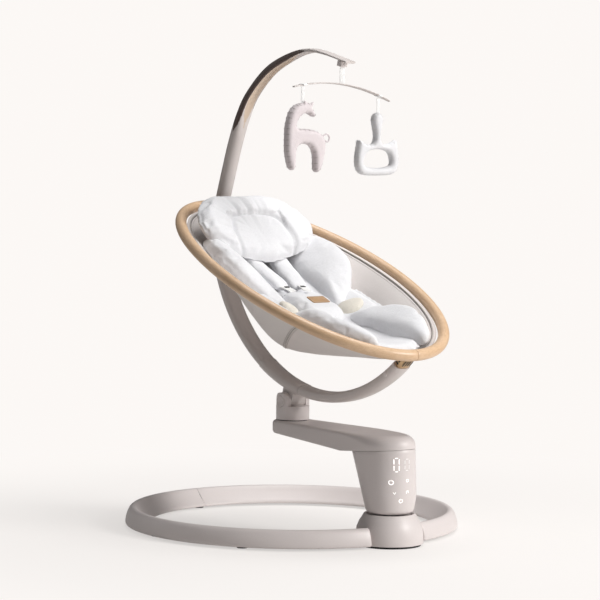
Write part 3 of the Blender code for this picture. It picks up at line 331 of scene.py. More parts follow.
PLASTIC = (0.705, 0.650, 0.640)
MATERIAL = {
    "plastic": moulded("greige_plastic", PLASTIC),
    "tube": painted("greige_powder_coat", (0.635, 0.580, 0.560)),
    "rubber": rubbery("dark_rubber", (0.030, 0.028, 0.030)),
    "steel": metal("brushed_steel", (0.56, 0.56, 0.57), 0.34),
    "copper": metal("copper_winding", (0.70, 0.33, 0.16), 0.4),
    "board": moulded("circuit_board", (0.02, 0.14, 0.06), 0.5),
    "black": rubbery("black_moulding_and_slot_shade", (0.02, 0.02, 0.021), 0.5),
    "brass": metal("satin_brass", (0.66, 0.46, 0.27), 0.38),
    "wood": beech("lacquered_beech"),
    # The sling's second colour is painted shade: the back panel is the same cloth as the seat panel, made
    # darker.
    "sling": woven("sling_mesh", (0.760, 0.700, 0.675), 0.0011, 0.2, 0.35, (0.700, 0.655, 0.635)),
    "white": jersey("white_jersey", (0.755, 0.755, 0.775)),
    "cream": jersey("cream_jersey", (0.72, 0.68, 0.60)),
    "leather": hide("tan_leather"),
    "ribbon": woven("woven_ribbon", (0.88, 0.88, 0.88), 0.0006, 0.15, 0.2),
    "knit": jersey("toy_knit", (0.725, 0.660, 0.675)),
    "piping": woven("sling_piping", (0.46, 0.425, 0.40), 0.0006, 0.2, 0.3),
    "white_moulding": moulded("white_moulding", (0.80, 0.79, 0.77), 0.4),
    "zip": woven("zip_tape", (0.20, 0.17, 0.155), 0.0005, 0.1, 0.2),
    "thread": woven("sewing_thread", (0.50, 0.46, 0.44), 0.0004, 0.2, 0.2),
    "white_thread": woven("white_thread", (0.72, 0.71, 0.70), 0.0004, 0.2, 0.2),
    "lit": lit("display_light"),
    "faint": lit("faint_display_light", 0.12),
    # Painted shade: a dark brown for the shade on the mobile rod's side faces.
    "arm_side_shade": painted("arm_side_shade", (0.085, 0.052, 0.042)),
    # Painted shade: a darker tan for the shade in the mobile rod's inner scoop.
    "scoop_shade": painted("scoop_shade", (0.590, 0.470, 0.370)),
    "dark_gap": rubbery("seam_shadow", (0.07, 0.06, 0.058), 0.8),
}


# --- Mesh making --------------------------------------------------------------------------------------
def piece(name, verts, faces, look, body, uvs=None, sharp=40):
    """A mesh in the row frame, smooth but for its sharp edges, that rides on a body."""
    mesh = bpy.data.meshes.new(name)
    mesh.from_pydata([tuple(v) for v in verts], [], faces)
    if uvs is not None:
        layer = mesh.uv_layers.new(name="along")
        for loop in mesh.loops:
            layer.data[loop.index].uv = uvs[loop.vertex_index]
    bm = bmesh.new()
    bm.from_mesh(mesh)
    bmesh.ops.recalc_face_normals(bm, faces=bm.faces)
    bm.to_mesh(mesh)
    bm.free()
    for poly in mesh.polygons:
        poly.use_smooth = True
    mesh.set_sharp_from_angle(angle=radians(sharp))
    obj = bpy.data.objects.new(name, mesh)
    bpy.context.scene.collection.objects.link(obj)
    mesh.materials.append(MATERIAL[look])
    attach(obj, body)
    return obj


def rows_faces(count_rows, count, around=True, caps=True, first=0):
    faces = []
    for r in range(count_rows - 1):
        for i in range(count if around else count - 1):
            j = (i + 1) % count
            a, b = first + r * count, first + (r + 1) * count
            faces.append((a + i, a + j, b + j, b + i))
    if caps:
        faces.append(tuple(first + i for i in reversed(range(count))))
        faces.append(tuple(first + (count_rows - 1) * count + i for i in range(count)))
    return faces


def rows_piece(name, rows, look, body, around=True, caps=True, uv=None, sharp=40):
    verts = [p for row in rows for p in row]
    faces = rows_faces(len(rows), len(rows[0]), around, caps)
    uvs = None
    if uv is not None:
        count = len(rows[0])
        uvs = [(uv[0] * r / (len(rows) - 1), uv[1] * abs(2 * i / count - 1)) for r in range(len(rows))
               for i in range(count)]
    return piece(name, verts, faces, look, body, uvs, sharp)


def oval(width, thick, sides, power=2.0):
    out = []
    for k in range(sides):
        a = 2 * pi * (k + 0.5) / sides
        c, s = cos(a), sin(a)
        out.append((width * abs(c) ** (2 / power) * (1 if c > 0 else -1),
                    thick * abs(s) ** (2 / power) * (1 if s > 0 else -1)))
    return out


def swept_rows(path, section, side=Vector((1, 0, 0)), headings=None):
    rows = []
    last = len(path) - 1
    for i, p in enumerate(path):
        p = Vector(p)
        ahead = headings[i] if headings else Vector(path[min(i + 1, last)]) - Vector(path[max(i - 1, 0)])
        ahead = ahead.normalized()
        across = (side - side.dot(ahead) * ahead).normalized()
        through = ahead.cross(across)
        rows.append([p + across * a + through * b for a, b in section(i / last)])
    return rows


def round_ends(section, length, radius):
    """Makes a section shrink a little at both ends, for a rounded end edge."""
    def rounded(share):
        edge = min(share, 1 - share) * length
        if edge >= radius:
            return section(share)
        shrink = radius - sqrt(max(radius ** 2 - (radius - edge) ** 2, 0.0))
        out = []
        for a, b in section(share):
            size = max(sqrt(a * a + b * b), 1e-6)
            out.append((a * (1 - shrink / size), b * (1 - shrink / size)))
        return out
    return rounded


def end_stops(count, length, radius):
    """Shares along a sweep, closer together at its rounded ends."""
    edge = [radius / length * (1 - cos(pi / 2 * k / 4)) for k in range(4)]
    middle = list(np.linspace(radius / length, 1 - radius / length, count))
    return edge + middle + [1 - e for e in reversed(edge)]


def ribbon(name, points, normals, width, thick, look, body):
    """A flat strip along points, thick along the normals."""
    rows = []
    last = len(points) - 1
    for i, p in enumerate(points):
        ahead = (Vector(points[min(i + 1, last)]) - Vector(points[max(i - 1, 0)])).normalized()
        up = Vector(normals[i] if isinstance(normals, list) else normals)
        up = (up - up.dot(ahead) * ahead).normalized()
        side = ahead.cross(up)
        w, t = width / 2, thick / 2
        rows.append([Vector(p) + side * a * w + up * b * t
                     for a, b in ((-1, -0.6), (-0.92, -1), (0.92, -1), (1, -0.6), (1, 0.6), (0.92, 1),
                                  (-0.92, 1), (-1, 0.6))])
    return rows_piece(name, rows, look, body)


def cord_piece(name, points, radius, look, body, sides=8):
    rows = swept_rows([Vector(p) for p in points], lambda share: oval(radius, radius, sides),
                      Vector((0.31, 0.52, 0.79)))
    return rows_piece(name, rows, look, body)


def stitches(name, points, normal_of, look, body, pitch=0.0042, size=(0.0026, 0.0009, 0.0005)):
    """A row of raised stitches along points."""
    pts = np.array([tuple(p) for p in points], float)
    steps = np.r_[0, np.cumsum(np.linalg.norm(np.diff(pts, axis=0), axis=1))]
    verts, faces = [], []
    for k in range(int(steps[-1] / pitch)):
        at = pitch * (k + 0.5)
        p = Vector([np.interp(at, steps, pts[:, j]) for j in range(3)])
        q = Vector([np.interp(at + 0.001, steps, pts[:, j]) for j in range(3)])
        ahead = (q - p).normalized()
        up = Vector(normal_of(p))
        up = (up - up.dot(ahead) * ahead).normalized()
        side = ahead.cross(up)
        first = len(verts)
        for along, lift in ((-0.5, 0.0), (-0.32, 0.8), (0.0, 1.0), (0.32, 0.8), (0.5, 0.0)):
            for across in (-0.5, 0.0, 0.5):
                rise = size[2] * lift * (1.0 if across == 0 else 0.35)
                verts.append(p + ahead * along * size[0] + side * across * size[1] + up * rise)
        for row in range(4):
            for col in range(2):
                a = first + row * 3 + col
                faces.append((a, a + 1, a + 4, a + 3))
    return piece(name, verts, faces, look, body)


# --- CAD nodes that stay: smooth shading, small bevels and a real material ----------------------------
def smoothing_group():
    group = bpy.data.node_groups.new("smooth_by_angle", "GeometryNodeTree")
    group.interface.new_socket("Geometry", in_out="INPUT", socket_type="NodeSocketGeometry")
    group.interface.new_socket("Geometry", in_out="OUTPUT", socket_type="NodeSocketGeometry")
    make = group.nodes.new
    start, end = make("NodeGroupInput"), make("NodeGroupOutput")
    faces, edges = make("GeometryNodeSetShadeSmooth"), make("GeometryNodeSetShadeSmooth")
    faces.domain = "FACE"
    edges.domain = "EDGE"
    edges.inputs["Shade Smooth"].default_value = False
    angle = make("GeometryNodeInputMeshEdgeAngle")
    compare = make("FunctionNodeCompare")
    compare.operation = "GREATER_THAN"
    compare.inputs[1].default_value = radians(38)
    group.links.new(start.outputs[0], faces.inputs["Geometry"])
    group.links.new(faces.outputs[0], edges.inputs["Geometry"])
    group.links.new(angle.outputs["Unsigned Angle"], compare.inputs[0])
    group.links.new(compare.outputs[0], edges.inputs["Selection"])
    group.links.new(edges.outputs[0], end.inputs[0])
    return group


SMOOTHING = smoothing_group()


def keep(node, look, bevel=0.0):
    """Shows a CAD node with smooth shading and this material."""
    obj = NODES[node]
    if "custom_normal" in obj.data.attributes:
        obj.data.attributes.remove(obj.data.attributes["custom_normal"])
    obj.data.materials.clear()
    obj.data.materials.append(MATERIAL[look])
    weld = obj.modifiers.new("weld", "WELD")
    weld.merge_threshold = 0.00002
    if bevel:
        edge = obj.modifiers.new("edge", "BEVEL")
        edge.width = bevel
        edge.segments = 2
        edge.limit_method = "ANGLE"
        edge.angle_limit = radians(38)
        edge.use_clamp_overlap = True
    shade = obj.modifiers.new("shade", "NODES")
    shade.node_group = SMOOTHING
    return obj


# --- Camera, light and floor --------------------------------------------------------------------------
def make_studio():
    scene = bpy.context.scene
    data = bpy.data.cameras.new("camera")
    data.lens, data.sensor_width = 173.835, 36.0
    data.clip_end = 50
    camera = bpy.data.objects.new("camera", data)
    right = Vector((0.77311, -0.63415, 0.01246))
    up = Vector((0.03586, 0.06331, 0.99735))
    back = -Vector((0.63326, 0.77062, -0.07169))
    matrix = Matrix((right, up, back)).transposed().to_4x4()
    matrix.translation = Vector((-3.4033, -3.8807, 0.8090))
    camera.matrix_world = matrix
    scene.collection.objects.link(camera)
    scene.camera = camera
    scene.view_settings.view_transform = "Standard"
    scene.view_settings.look = "None"

    world = bpy.data.worlds.new("studio")
    scene.world = world
    world.use_nodes = True
    nodes, links = world.node_tree.nodes, world.node_tree.links
    seen = nodes["Background"]
    seen.inputs["Color"].default_value = (*BACKDROP, 1.0)
    seen.inputs["Strength"].default_value = 1.0
    light = nodes.new("ShaderNodeBackground")
    light.inputs["Color"].default_value = (1.0, 0.985, 0.97, 1.0)
    light.inputs["Strength"].default_value = 0.11
    path, mix = nodes.new("ShaderNodeLightPath"), nodes.new("ShaderNodeMixShader")
    links.new(path.outputs["Is Camera Ray"], mix.inputs["Fac"])
    links.new(light.outputs[0], mix.inputs[1])
    links.new(seen.outputs[0], mix.inputs[2])
    links.new(mix.outputs[0], nodes["World Output"].inputs["Surface"])

    def lamp(name, place, target, size, power, colour=(1, 1, 1)):
        area = bpy.data.lights.new(name, "AREA")
        area.shape = "RECTANGLE"
        area.size, area.size_y = size
        area.energy = power
        area.color = colour
        obj = bpy.data.objects.new(name, area)
        obj.location = place
        obj.rotation_mode = "QUATERNION"
        obj.rotation_quaternion = (Vector(target) - Vector(place)).to_track_quat("-Z", "Y")
        scene.collection.objects.link(obj)

    middle = (0, 0.22, 0.42)
    lamp("key_right", (1.35, -2.85, 1.9), middle, (0.9, 1.3), 112, (1.0, 0.985, 0.965))
    lamp("top", (0.5, 0.2, 2.9), middle, (1.4, 1.4), 50)
    lamp("front_fill", (-1.4, -3.0, 1.5), middle, (1.4, 1.4), 1.5, (0.97, 0.985, 1.0))
    lamp("back_rim", (-1.6, 2.4, 1.4), middle, (0.9, 1.6), 4)

    bm = bmesh.new()
    bmesh.ops.create_grid(bm, x_segments=1, y_segments=1, size=9.0)
    mesh = bpy.data.meshes.new("floor")
    bm.to_mesh(mesh)
    bm.free()
    floor = bpy.data.objects.new("floor", mesh)
    floor.location = (0, 0.2, -0.0004)
    scene.collection.objects.link(floor)
    mat = bpy.data.materials.new("floor")
    mat.use_nodes = True
    nodes, links = mat.node_tree.nodes, mat.node_tree.links
    shader = nodes["Principled BSDF"]
    shader.inputs["Base Color"].default_value = (0.86, 0.835, 0.815, 1.0)
    shader.inputs["Roughness"].default_value = 0.9
    glow = nodes.new("ShaderNodeEmission")
    glow.inputs["Color"].default_value = (*BACKDROP, 1.0)
    mottle = nodes.new("ShaderNodeTexNoise")
    mottle.inputs["Scale"].default_value = 60
    grain = nodes.new("ShaderNodeBump")
    grain.inputs["Distance"].default_value = 0.0004
    links.new(mottle.outputs["Fac"], grain.inputs["Height"])
    links.new(grain.outputs["Normal"], shader.inputs["Normal"])
    where, reach, far = (nodes.new("ShaderNodeTexCoord"), nodes.new("ShaderNodeVectorMath"),
                         nodes.new("ShaderNodeMapRange"))
    reach.operation = "LENGTH"
    links.new(where.outputs["Object"], reach.inputs[0])
    links.new(reach.outputs["Value"], far.inputs["Value"])
    far.interpolation_type = "SMOOTHERSTEP"
    far.inputs["From Min"].default_value = 0.20
    far.inputs["From Max"].default_value = 1.25
    far.inputs["To Min"].default_value = 0.60
    far.inputs["To Max"].default_value = 1.0
    path, share, blend = (nodes.new("ShaderNodeLightPath"), nodes.new("ShaderNodeMath"),
                          nodes.new("ShaderNodeMixShader"))
    share.operation = "MULTIPLY"
    links.new(path.outputs["Is Camera Ray"], share.inputs[0])
    links.new(far.outputs["Result"], share.inputs[1])
    links.new(share.outputs[0], blend.inputs["Fac"])
    links.new(shader.outputs[0], blend.inputs[1])
    links.new(glow.outputs[0], blend.inputs[2])
    links.new(blend.outputs[0], nodes["Material Output"].inputs["Surface"])
    mesh.materials.append(mat)


# --- Base, pod and column -----------------------------------------------------------------------------
def make_base():
    profile = [(BASE_R_OUT - 0.0030, FOOT_H), (BASE_R_OUT - 0.0006, 0.0052), (BASE_R_OUT, 0.0085),
               (0.3092, 0.0150), (0.3072, 0.0225), (0.3038, 0.0305), (0.3005, 0.0345),
               (BASE_R_RIDGE + 0.001, BASE_H), (0.2915, 0.0357), (0.2865, 0.0312), (0.2812, 0.0252),
               (0.2752, 0.0190), (0.2698, 0.0138), (0.2648, 0.0098), (BASE_R_IN, 0.0070),
               (BASE_R_IN + 0.0004, 0.0050), (BASE_R_IN + 0.0022, FOOT_H)]
    fine = [tuple(p) for p in spline(profile, 44)]
    centre = (0.2870, 0.0165)
    start, end = radians(-90 + 11.6), radians(90)
    length = (end - start) * BASE_R_RIDGE
    stops = end_stops(96, length, 0.0032)
    for name, sign, node in (("ring_shell_right", -1, "base_ring_right"),
                             ("ring_shell_left", 1, "base_ring_left")):
        rows = []
        for share in stops:
            a = lerp(start, end, share)
            edge = min(share, 1 - share) * length
            radius = 0.0032 if share < 0.5 else 0.0018
            shrink = 0.0
            if edge < radius:
                shrink = radius - sqrt(radius ** 2 - (radius - edge) ** 2)
            row = []
            for r, z in fine:
                size = sqrt((r - centre[0]) ** 2 + (z - centre[1]) ** 2)
                k = 1 - shrink / size
                rr, zz = centre[0] + (r - centre[0]) * k, centre[1] + (z - centre[1]) * k
                row.append((sign * rr * cos(a), HUB_Y + rr * sin(a), zz))
            rows.append(row)
        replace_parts(rows_piece(name, rows, "plastic", "base"), node)
    # Painted shade: a dark sheet in the join between the two ring halves stands for the shade in the seam.
    rows = []
    for x in (-0.0016, 0.0016):
        rows.append([(x, HUB_Y + centre[0] + (r - centre[0]) * 0.93, centre[1] + (z - centre[1]) * 0.93)
                     for r, z in fine])
    rows_piece("ring_seam_shade", rows, "dark_gap", "base")
    for number in range(1, 6):
        keep(f"ring_foot_{number}", "rubber", 0.0004)
    keep("ring_joint_dowel", "steel")
    keep("pod_housing", "plastic", 0.0005)
    keep("pod_rubber_pad", "rubber")
    for node, look in (("pod_base_plate", "steel"), ("main_bearing", "steel"), ("drive_coil", "copper"),
                       ("control_board", "board"), ("power_inlet", "black")):
        keep(node, look)


def cup_section(z):
    half_x = table([(0.0592, 0.0392), (0.0610, 0.0415), (0.0645, 0.0437), (0.088, 0.0480),
                    (0.112, 0.0490), (0.200, 0.0500)], z)
    half_y = table([(0.0592, 0.0392), (0.0610, 0.0415), (0.0645, 0.0437), (0.088, 0.0495),
                    (0.112, 0.0541), (0.165, 0.0657), (0.200, 0.0735)], z)
    middle = table([(0.0645, 0.0), (0.088, 0.0014), (0.112, 0.0065), (0.165, 0.0187),
                    (0.200, 0.0265)], z)
    return half_x, half_y, middle


def smooth_section(z):
    """The column's section, smoothed over a little height."""
    spread = (-0.006, -0.003, 0.0, 0.003, 0.006) if z > 0.072 else (0.0,)
    near = [cup_section(z + d) for d in spread]
    return tuple(sum(s[k] for s in near) / len(near) for k in range(3))


def cup_point(z, a, out=0.0):
    half_x, half_y, middle = smooth_section(z)
    return Vector(((half_x + out) * cos(a), middle + (half_y + out) * sin(a), z))


def make_column():
    sides = 96
    foot, rim = 0.0592, 0.164
    levels = [0.0592, 0.0596, 0.0604, 0.0616, 0.0632, 0.0650, 0.070, 0.078, 0.086, 0.094, 0.102, 0.110,
              0.118, 0.126, 0.134, 0.142, 0.150, 0.158, 0.164]
    rows = [[Vector((0.0124 * cos(2 * pi * k / sides), 0.0124 * sin(2 * pi * k / sides), 0.0592))
             for k in range(sides)]]
    for level in levels:
        tilt = smooth((level - 0.075) / 0.085)
        row = []
        for k in range(sides):
            a = 2 * pi * k / sides
            y = cup_section(level)[2] + cup_section(level)[1] * sin(a)
            top = SEAM_Z + SEAM_SLOPE * y - 0.0004
            rise = (top - rim) * tilt * (level - foot) / (rim - foot) if level > 0.065 else 0.0
            row.append(cup_point(level + rise, a))
        rows.append(row)
    for inset, drop in ((0.0004, -0.0003), (0.0012, 0.0), (0.0030, 0.0010)):
        rows.append([cup_point(p.z - drop, 2 * pi * k / sides, -inset)
                     for k, p in enumerate(rows[len(levels)])])
    cup = rows_piece("cup_shell", rows, "plastic", "arm", caps=False, sharp=60)
    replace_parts(cup, "column_cup")
    make_display()


def arm_outline():
    half_x, half_y, middle = cup_section(0.170)
    lean = asin((half_x - ARM_END_R) / (HUB_Y - middle))
    out = []
    for k in range(33):
        a = lerp(lean, pi - lean, k / 32)
        out.append(((ARM_END_R * cos(a), HUB_Y + ARM_END_R * sin(a)), (-cos(a), -sin(a))))
    for k in range(1, 12):
        t = k / 12
        out.append(((lerp(-ARM_END_R * cos(lean), -half_x * cos(lean), t),
                     lerp(HUB_Y + ARM_END_R * sin(lean), middle + half_y * sin(lean), t)),
                    (cos(lean), -sin(lean))))
    for k in range(61):
        a = lerp(pi - lean, 2 * pi + lean, k / 60)
        nx, ny = cos(a) / half_x, sin(a) / half_y
        size = sqrt(nx * nx + ny * ny)
        out.append(((half_x * cos(a), middle + half_y * sin(a)), (-nx / size, -ny / size)))
    for k in range(1, 12):
        t = k / 12
        out.append(((lerp(half_x * cos(lean), ARM_END_R * cos(lean), t),
                     lerp(middle + half_y * sin(lean), HUB_Y + ARM_END_R * sin(lean), t)),
                    (-cos(lean), -sin(lean))))
    return out


def arm_under(y):
    start = 0.0840
    low = SEAM_Z + SEAM_SLOPE * start
    if y < start:
        return SEAM_Z + SEAM_SLOPE * y + 0.0004
    return lerp(low, 0.1770, (y - start) / (HUB_Y + ARM_END_R - start))


def make_arm():
    outline = arm_outline()
    rows = []
    for push, lift in ((0.0034, 0.0035), (0.0018, 0.0)):
        rows.append([(x + nx * push, y + ny * push, arm_under(y) + lift) for (x, y), (nx, ny) in outline])
    for k in range(5):
        a = (pi / 2) * k / 4
        row = []
        for (x, y), (nx, ny) in outline:
            edge = lerp(0.0006, 0.0040, smooth((y - 0.07) / 0.08))
            push, lift = edge * (1 - sin(a)), edge * (1 - cos(a))
            row.append((x + nx * push, y + ny * push, arm_under(y) + lift))
        rows.append(row)
    steps = 14
    for k in range(steps + 1):
        a = (pi / 2) * k / steps
        row = []
        for (x, y), (nx, ny) in outline:
            edge = lerp(0.0200, 0.0068, smooth((y + 0.01) / 0.10))
            push, z = edge * (1 - cos(a)), ARM_TOP - edge * (1 - sin(a))
            row.append((x + nx * push, y + ny * push, z))
        rows.append(row)
    shell = rows_piece("arm_shell", rows, "plastic", "arm", caps=False, sharp=60)
    bm = bmesh.new()
    bm.from_mesh(shell.data)
    top = [e for e in bm.edges if e.is_boundary and min(v.co.z for v in e.verts) > ARM_TOP - 0.001]
    filled = bmesh.ops.contextual_create(bm, geom=top)["faces"]
    bmesh.ops.inset_individual(bm, faces=filled, thickness=0.004)
    bmesh.ops.recalc_face_normals(bm, faces=bm.faces)
    bm.to_mesh(shell.data)
    bm.free()
    for poly in shell.data.polygons:
        poly.use_smooth = True
    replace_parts(shell, "arm_upper_shell")
    keep("arm_lower_cover", "plastic", 0.0004)
    for node, look in (("arm_screw_1", "steel"), ("arm_screw_2", "steel"), ("hub_spindle", "steel"),
                       ("column_shaft", "steel"), ("drive_lever", "steel"), ("drive_magnet", "steel"),
                       ("display_board", "board")):
        keep(node, look)


def stroke(points, width, centre, verts, faces):
    """A lit stroke of (across, height) points, laid on the column at centre (degrees, height)."""
    pts = [np.array(p, float) for p in points]
    last = len(pts) - 1
    closed = np.linalg.norm(pts[0] - pts[-1]) < 1e-9
    rows = []
    for i, p in enumerate(pts):
        before = pts[i - 1] if i > 0 else (pts[-2] if closed else pts[0])
        after = pts[i + 1] if i < last else (pts[1] if closed else pts[-1])
        ahead = (after - before) / max(np.linalg.norm(after - before), 1e-9)
        side = np.array((-ahead[1], ahead[0])) * width / 2
        rows.append((p - side, p + side))
    first = len(verts)
    for a, b in rows:
        for q, out in ((a, 0.0001), (a, 0.00035), (b, 0.00035), (b, 0.0001)):
            z = centre[1] + q[1]
            angle = radians(-90 - centre[0]) + q[0] / 0.047
            verts.append(cup_point(z, angle, out))
    for i in range(last):
        for k in range(4):
            j = (k + 1) % 4
            a, b = first + i * 4, first + (i + 1) * 4
            faces.append((a + k, a + j, b + j, b + k))


def loop(width, height, corner, count=5, centre=(0, 0)):
    """A closed rounded rectangle."""
    out = []
    w, h = width / 2 - corner, height / 2 - corner
    for number, (cx, cy) in enumerate(((w, h), (-w, h), (-w, -h), (w, -h))):
        for k in range(count + 1):
            a = radians(90 * number + 90 * k / count)
            out.append((centre[0] + cx + corner * cos(a), centre[1] + cy + corner * sin(a)))
    return out + [out[0]]


def turn_arc(radius, start, end, count=14, centre=(0, 0)):
    return [(centre[0] + radius * cos(radians(lerp(start, end, k / count))),
             centre[1] + radius * sin(radians(lerp(start, end, k / count)))) for k in range(count + 1)]


def make_display():
    """Lit digits and touch symbols that shine through the column's front."""
    verts, faces = [], []
    faint_verts, faint_faces = [], []
    mm = 0.001
    for angle, wide, high, width in ((25.5, 8.6 * mm, 24 * mm, 1.3 * mm), (2, 9 * mm, 20 * mm, 0.9 * mm)):
        w, h = wide / 2, high / 2
        for bar in ([(-w + 2 * mm, h), (w - 2 * mm, h)], [(-w + 2 * mm, -h), (w - 2 * mm, -h)],
                    [(-w, h - 2 * mm), (-w, 1.4 * mm)], [(w, h - 2 * mm), (w, 1.4 * mm)],
                    [(-w, -1.4 * mm), (-w, 2 * mm - h)], [(w, -1.4 * mm), (w, 2 * mm - h)]):
            if angle > 10:
                stroke(bar, width, (angle, 0.1495), verts, faces)
            else:
                stroke(bar, width, (angle, 0.1495), faint_verts, faint_faces)
    stroke(turn_arc(3.9 * mm, 120, 420), 1.2 * mm, (37, 0.1185), verts, faces)
    stroke([(0, 2 * mm), (0, 4.6 * mm)], 1.0 * mm, (37, 0.1185), verts, faces)
    stroke(turn_arc(2.4 * mm, 0, 360), 0.8 * mm, (1, 0.1210), verts, faces)
    stroke([(-2.4 * mm, 1.6 * mm), (0, -1.6 * mm), (2.4 * mm, 1.6 * mm)], 1.0 * mm,
           (31, 0.0990), verts, faces)
    stroke([(-2 * mm, -2 * mm), (-2 * mm, 2 * mm), (2 * mm, 2.6 * mm), (2 * mm, -1.4 * mm)], 0.9 * mm,
           (1, 0.1000), verts, faces)
    stroke(turn_arc(3.3 * mm, 120, 420), 0.9 * mm, (17, 0.0850), verts, faces)
    stroke([(0, 1.2 * mm), (0, 4.0 * mm)], 0.8 * mm, (17, 0.0850), verts, faces)
    piece("display_lights", verts, faces, "lit", "arm")
    piece("display_second_digit", faint_verts, faint_faces, "faint", "arm")


def make_hub():
    keep("hub_tower", "plastic", 0.0006)
    keep("hub_washer", "rubber")
    keep("pivot_pin", "steel", 0.0003)
    keep("recline_button", "plastic", 0.0003)
    verts, faces = [], []
    for radius in (0.0085, 0.0060, 0.0036):
        first = len(verts)
        count = 32
        for k in range(count):
            a = 2 * pi * k / count
            for dr, dx in ((-0.0004, 0.0), (-0.0002, -0.0003), (0.0002, -0.0003), (0.0004, 0.0)):
                r = radius + dr
                verts.append((-0.03105 + dx, HUB_Y + r * cos(a), 0.235 + r * sin(a)))
        for k in range(count):
            here, ahead = first + 4 * k, first + 4 * ((k + 1) % count)
            for m in range(3):
                faces.append((here + m, here + m + 1, ahead + m + 1, ahead + m))
    piece("button_rings", verts, faces, "plastic", "recline_button")


# --- C-frame, wooden ring and brackets ----------------------------------------------------------------
def on_circle(degrees, radius=C_R, x=0.0):
    b = radians(degrees)
    return Vector((x, C_Y + radius * sin(b), C_Z - radius * cos(b)))


def frame_tube(name, node, start, end, width, thick, look="tube"):
    length = abs(radians(end - start)) * C_R
    stops = end_stops(60, length, 0.0009)
    angles = [lerp(start, end, s) for s in stops]
    section = round_ends(lambda share: oval(width, thick, 40, 2.6), length, 0.0009)
    rows = []
    for share, b in zip(stops, angles):
        out = (on_circle(b) - Vector((0, C_Y, C_Z))).normalized()
        rows.append([on_circle(b) + Vector((1, 0, 0)) * a + out * t for a, t in section(share)])
    obj = rows_piece(name, rows, look, "seat")
    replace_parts(obj, node)
    return obj


def seat_to_world(u, x, n):
    return Vector((x, SEAT_Y + u * cos(SEAT_TILT) - n * sin(SEAT_TILT),
                   SEAT_Z + u * sin(SEAT_TILT) + n * cos(SEAT_TILT)))


def seat_point(t):
    half = SEAT_B * (1 - SEAT_EGG * cos(t))
    return seat_to_world(SEAT_A * cos(t), half * sin(t), SEAT_BOW * cos(t) ** 2)


UP = Vector((0, -sin(SEAT_TILT), cos(SEAT_TILT)))


def slot_faces(first):
    """The six faces of a thin box whose eight corners start at this index."""
    ends = [tuple(range(first, first + 4)), tuple(range(first + 4, first + 8))]
    return ends + [(first + k, first + (k + 1) % 4, first + 4 + (k + 1) % 4, first + 4 + k) for k in range(4)]


def make_frame():
    frame_tube("head_tube", "frame_tube_head", SADDLE_TO + 0.05, HEAD_END, TUBE_W, TUBE_T)
    frame_tube("foot_tube", "frame_tube_foot", FOOT_END, SADDLE_FROM - 0.05, TUBE_W, TUBE_T)
    keep("frame_saddle", "tube", 0.0008)
    keep("foot_bracket", "brass", 0.0008)
    # Painted shade: thin black boxes on the bracket's sides stand for the shade inside its slots.
    for name, x in (("left", -0.0152), ("right", 0.0152)):
        verts, faces = [], []
        for degrees in (-40.7, -41.9, -43.1):
            first = len(verts)
            for out, along in ((-0.0042, -0.0011), (-0.0042, 0.0011), (0.0030, 0.0011), (0.0030, -0.0011)):
                verts.append(on_circle(degrees + along / C_R * 180 / pi, C_R + out, x))
            verts += [v + Vector((0.0003 if x > 0 else -0.0003, 0, 0)) for v in verts[first:first + 4]]
            faces += slot_faces(first)
        piece(f"bracket_slot_shade_{name}", verts, faces, "black", "seat")
    # Painted shade: thin black boxes on the bracket's front stand for the shade inside its slots.
    verts, faces = [], []
    for x in (-0.0085, -0.0030, 0.0025, 0.0080):
        first = len(verts)
        for radius in (C_R + 0.0089, C_R + 0.0092):
            for across, degrees in ((-0.0012, -40.9), (0.0012, -40.9), (0.0012, -43.2), (-0.0012, -43.2)):
                verts.append(on_circle(degrees, radius, x + across))
        faces += slot_faces(first)
    piece("bracket_slot_shade_front", verts, faces, "black", "seat")
    keep("head_bracket", "plastic", 0.0008)
    keep("release_button", "plastic", 0.0003)
    for name, node, start, end in (("rail_left", "seat_ring_left", 0.0010, pi - 0.0010),
                                   ("rail_right", "seat_ring_right", 2 * pi - 0.0010, pi + 0.0010)):
        steps = 150
        length = 0.83
        stops = end_stops(steps, length, 0.0008)
        angles = [lerp(start, end, s) for s in stops]
        section = round_ends(lambda share: oval(WOOD_R, WOOD_R, 28), length, 0.0008)
        rows = []
        for share, t in zip(stops, angles):
            ahead = (seat_point(t + 0.01) - seat_point(t - 0.01)).normalized()
            across = (UP - UP.dot(ahead) * ahead).normalized()
            through = ahead.cross(across)
            rows.append([seat_point(t) + across * a + through * b for a, b in section(share)])
        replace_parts(rows_piece(name, rows, "wood", "seat", uv=(8.3, 0.33)), node)


# --- Sling --------------------------------------------------------------------------------------------
HEM = WOOD_R + 0.0028                     # the sling's hem, from the middle of the ring's tube
SLING_DEPTH = [(-0.311, 0.0), (-0.300, 0.014), (-0.292, 0.020), (-0.25, 0.044), (-0.20, 0.067),
               (-0.15, 0.091), (-0.10, 0.114), (-0.05, 0.134), (-0.02, 0.143), (0.0, 0.142),
               (0.04, 0.128), (0.08, 0.107), (0.12, 0.086), (0.16, 0.066), (0.20, 0.046),
               (0.24, 0.027), (0.268, 0.014), (0.290, 0.006), (0.311, 0.0)]


def rim_half(u):
    """Half width of the opening inside the ring at this place along the seat."""
    share = min(abs(u) / (SEAT_A - HEM), 1.0)
    return (SEAT_B - HEM) * (1 - SEAT_EGG * u / SEAT_A) * sqrt(max(1 - share ** 2, 0.0))


def sling_n(u, x):
    near = [table(SLING_DEPTH, u + d) for d in (-0.010, -0.005, 0.0, 0.005, 0.010)]
    share = min(abs(x) / max(rim_half(u), 0.001), 1.0)
    return -0.004 + SEAT_BOW * (u / SEAT_A) ** 2 - sum(near) / 5 * (1 - share ** 2) ** 1.5


def on_sling(u, share, lift=0.0):
    x = share * rim_half(u)
    return seat_to_world(u, x, sling_n(u, x) + lift)


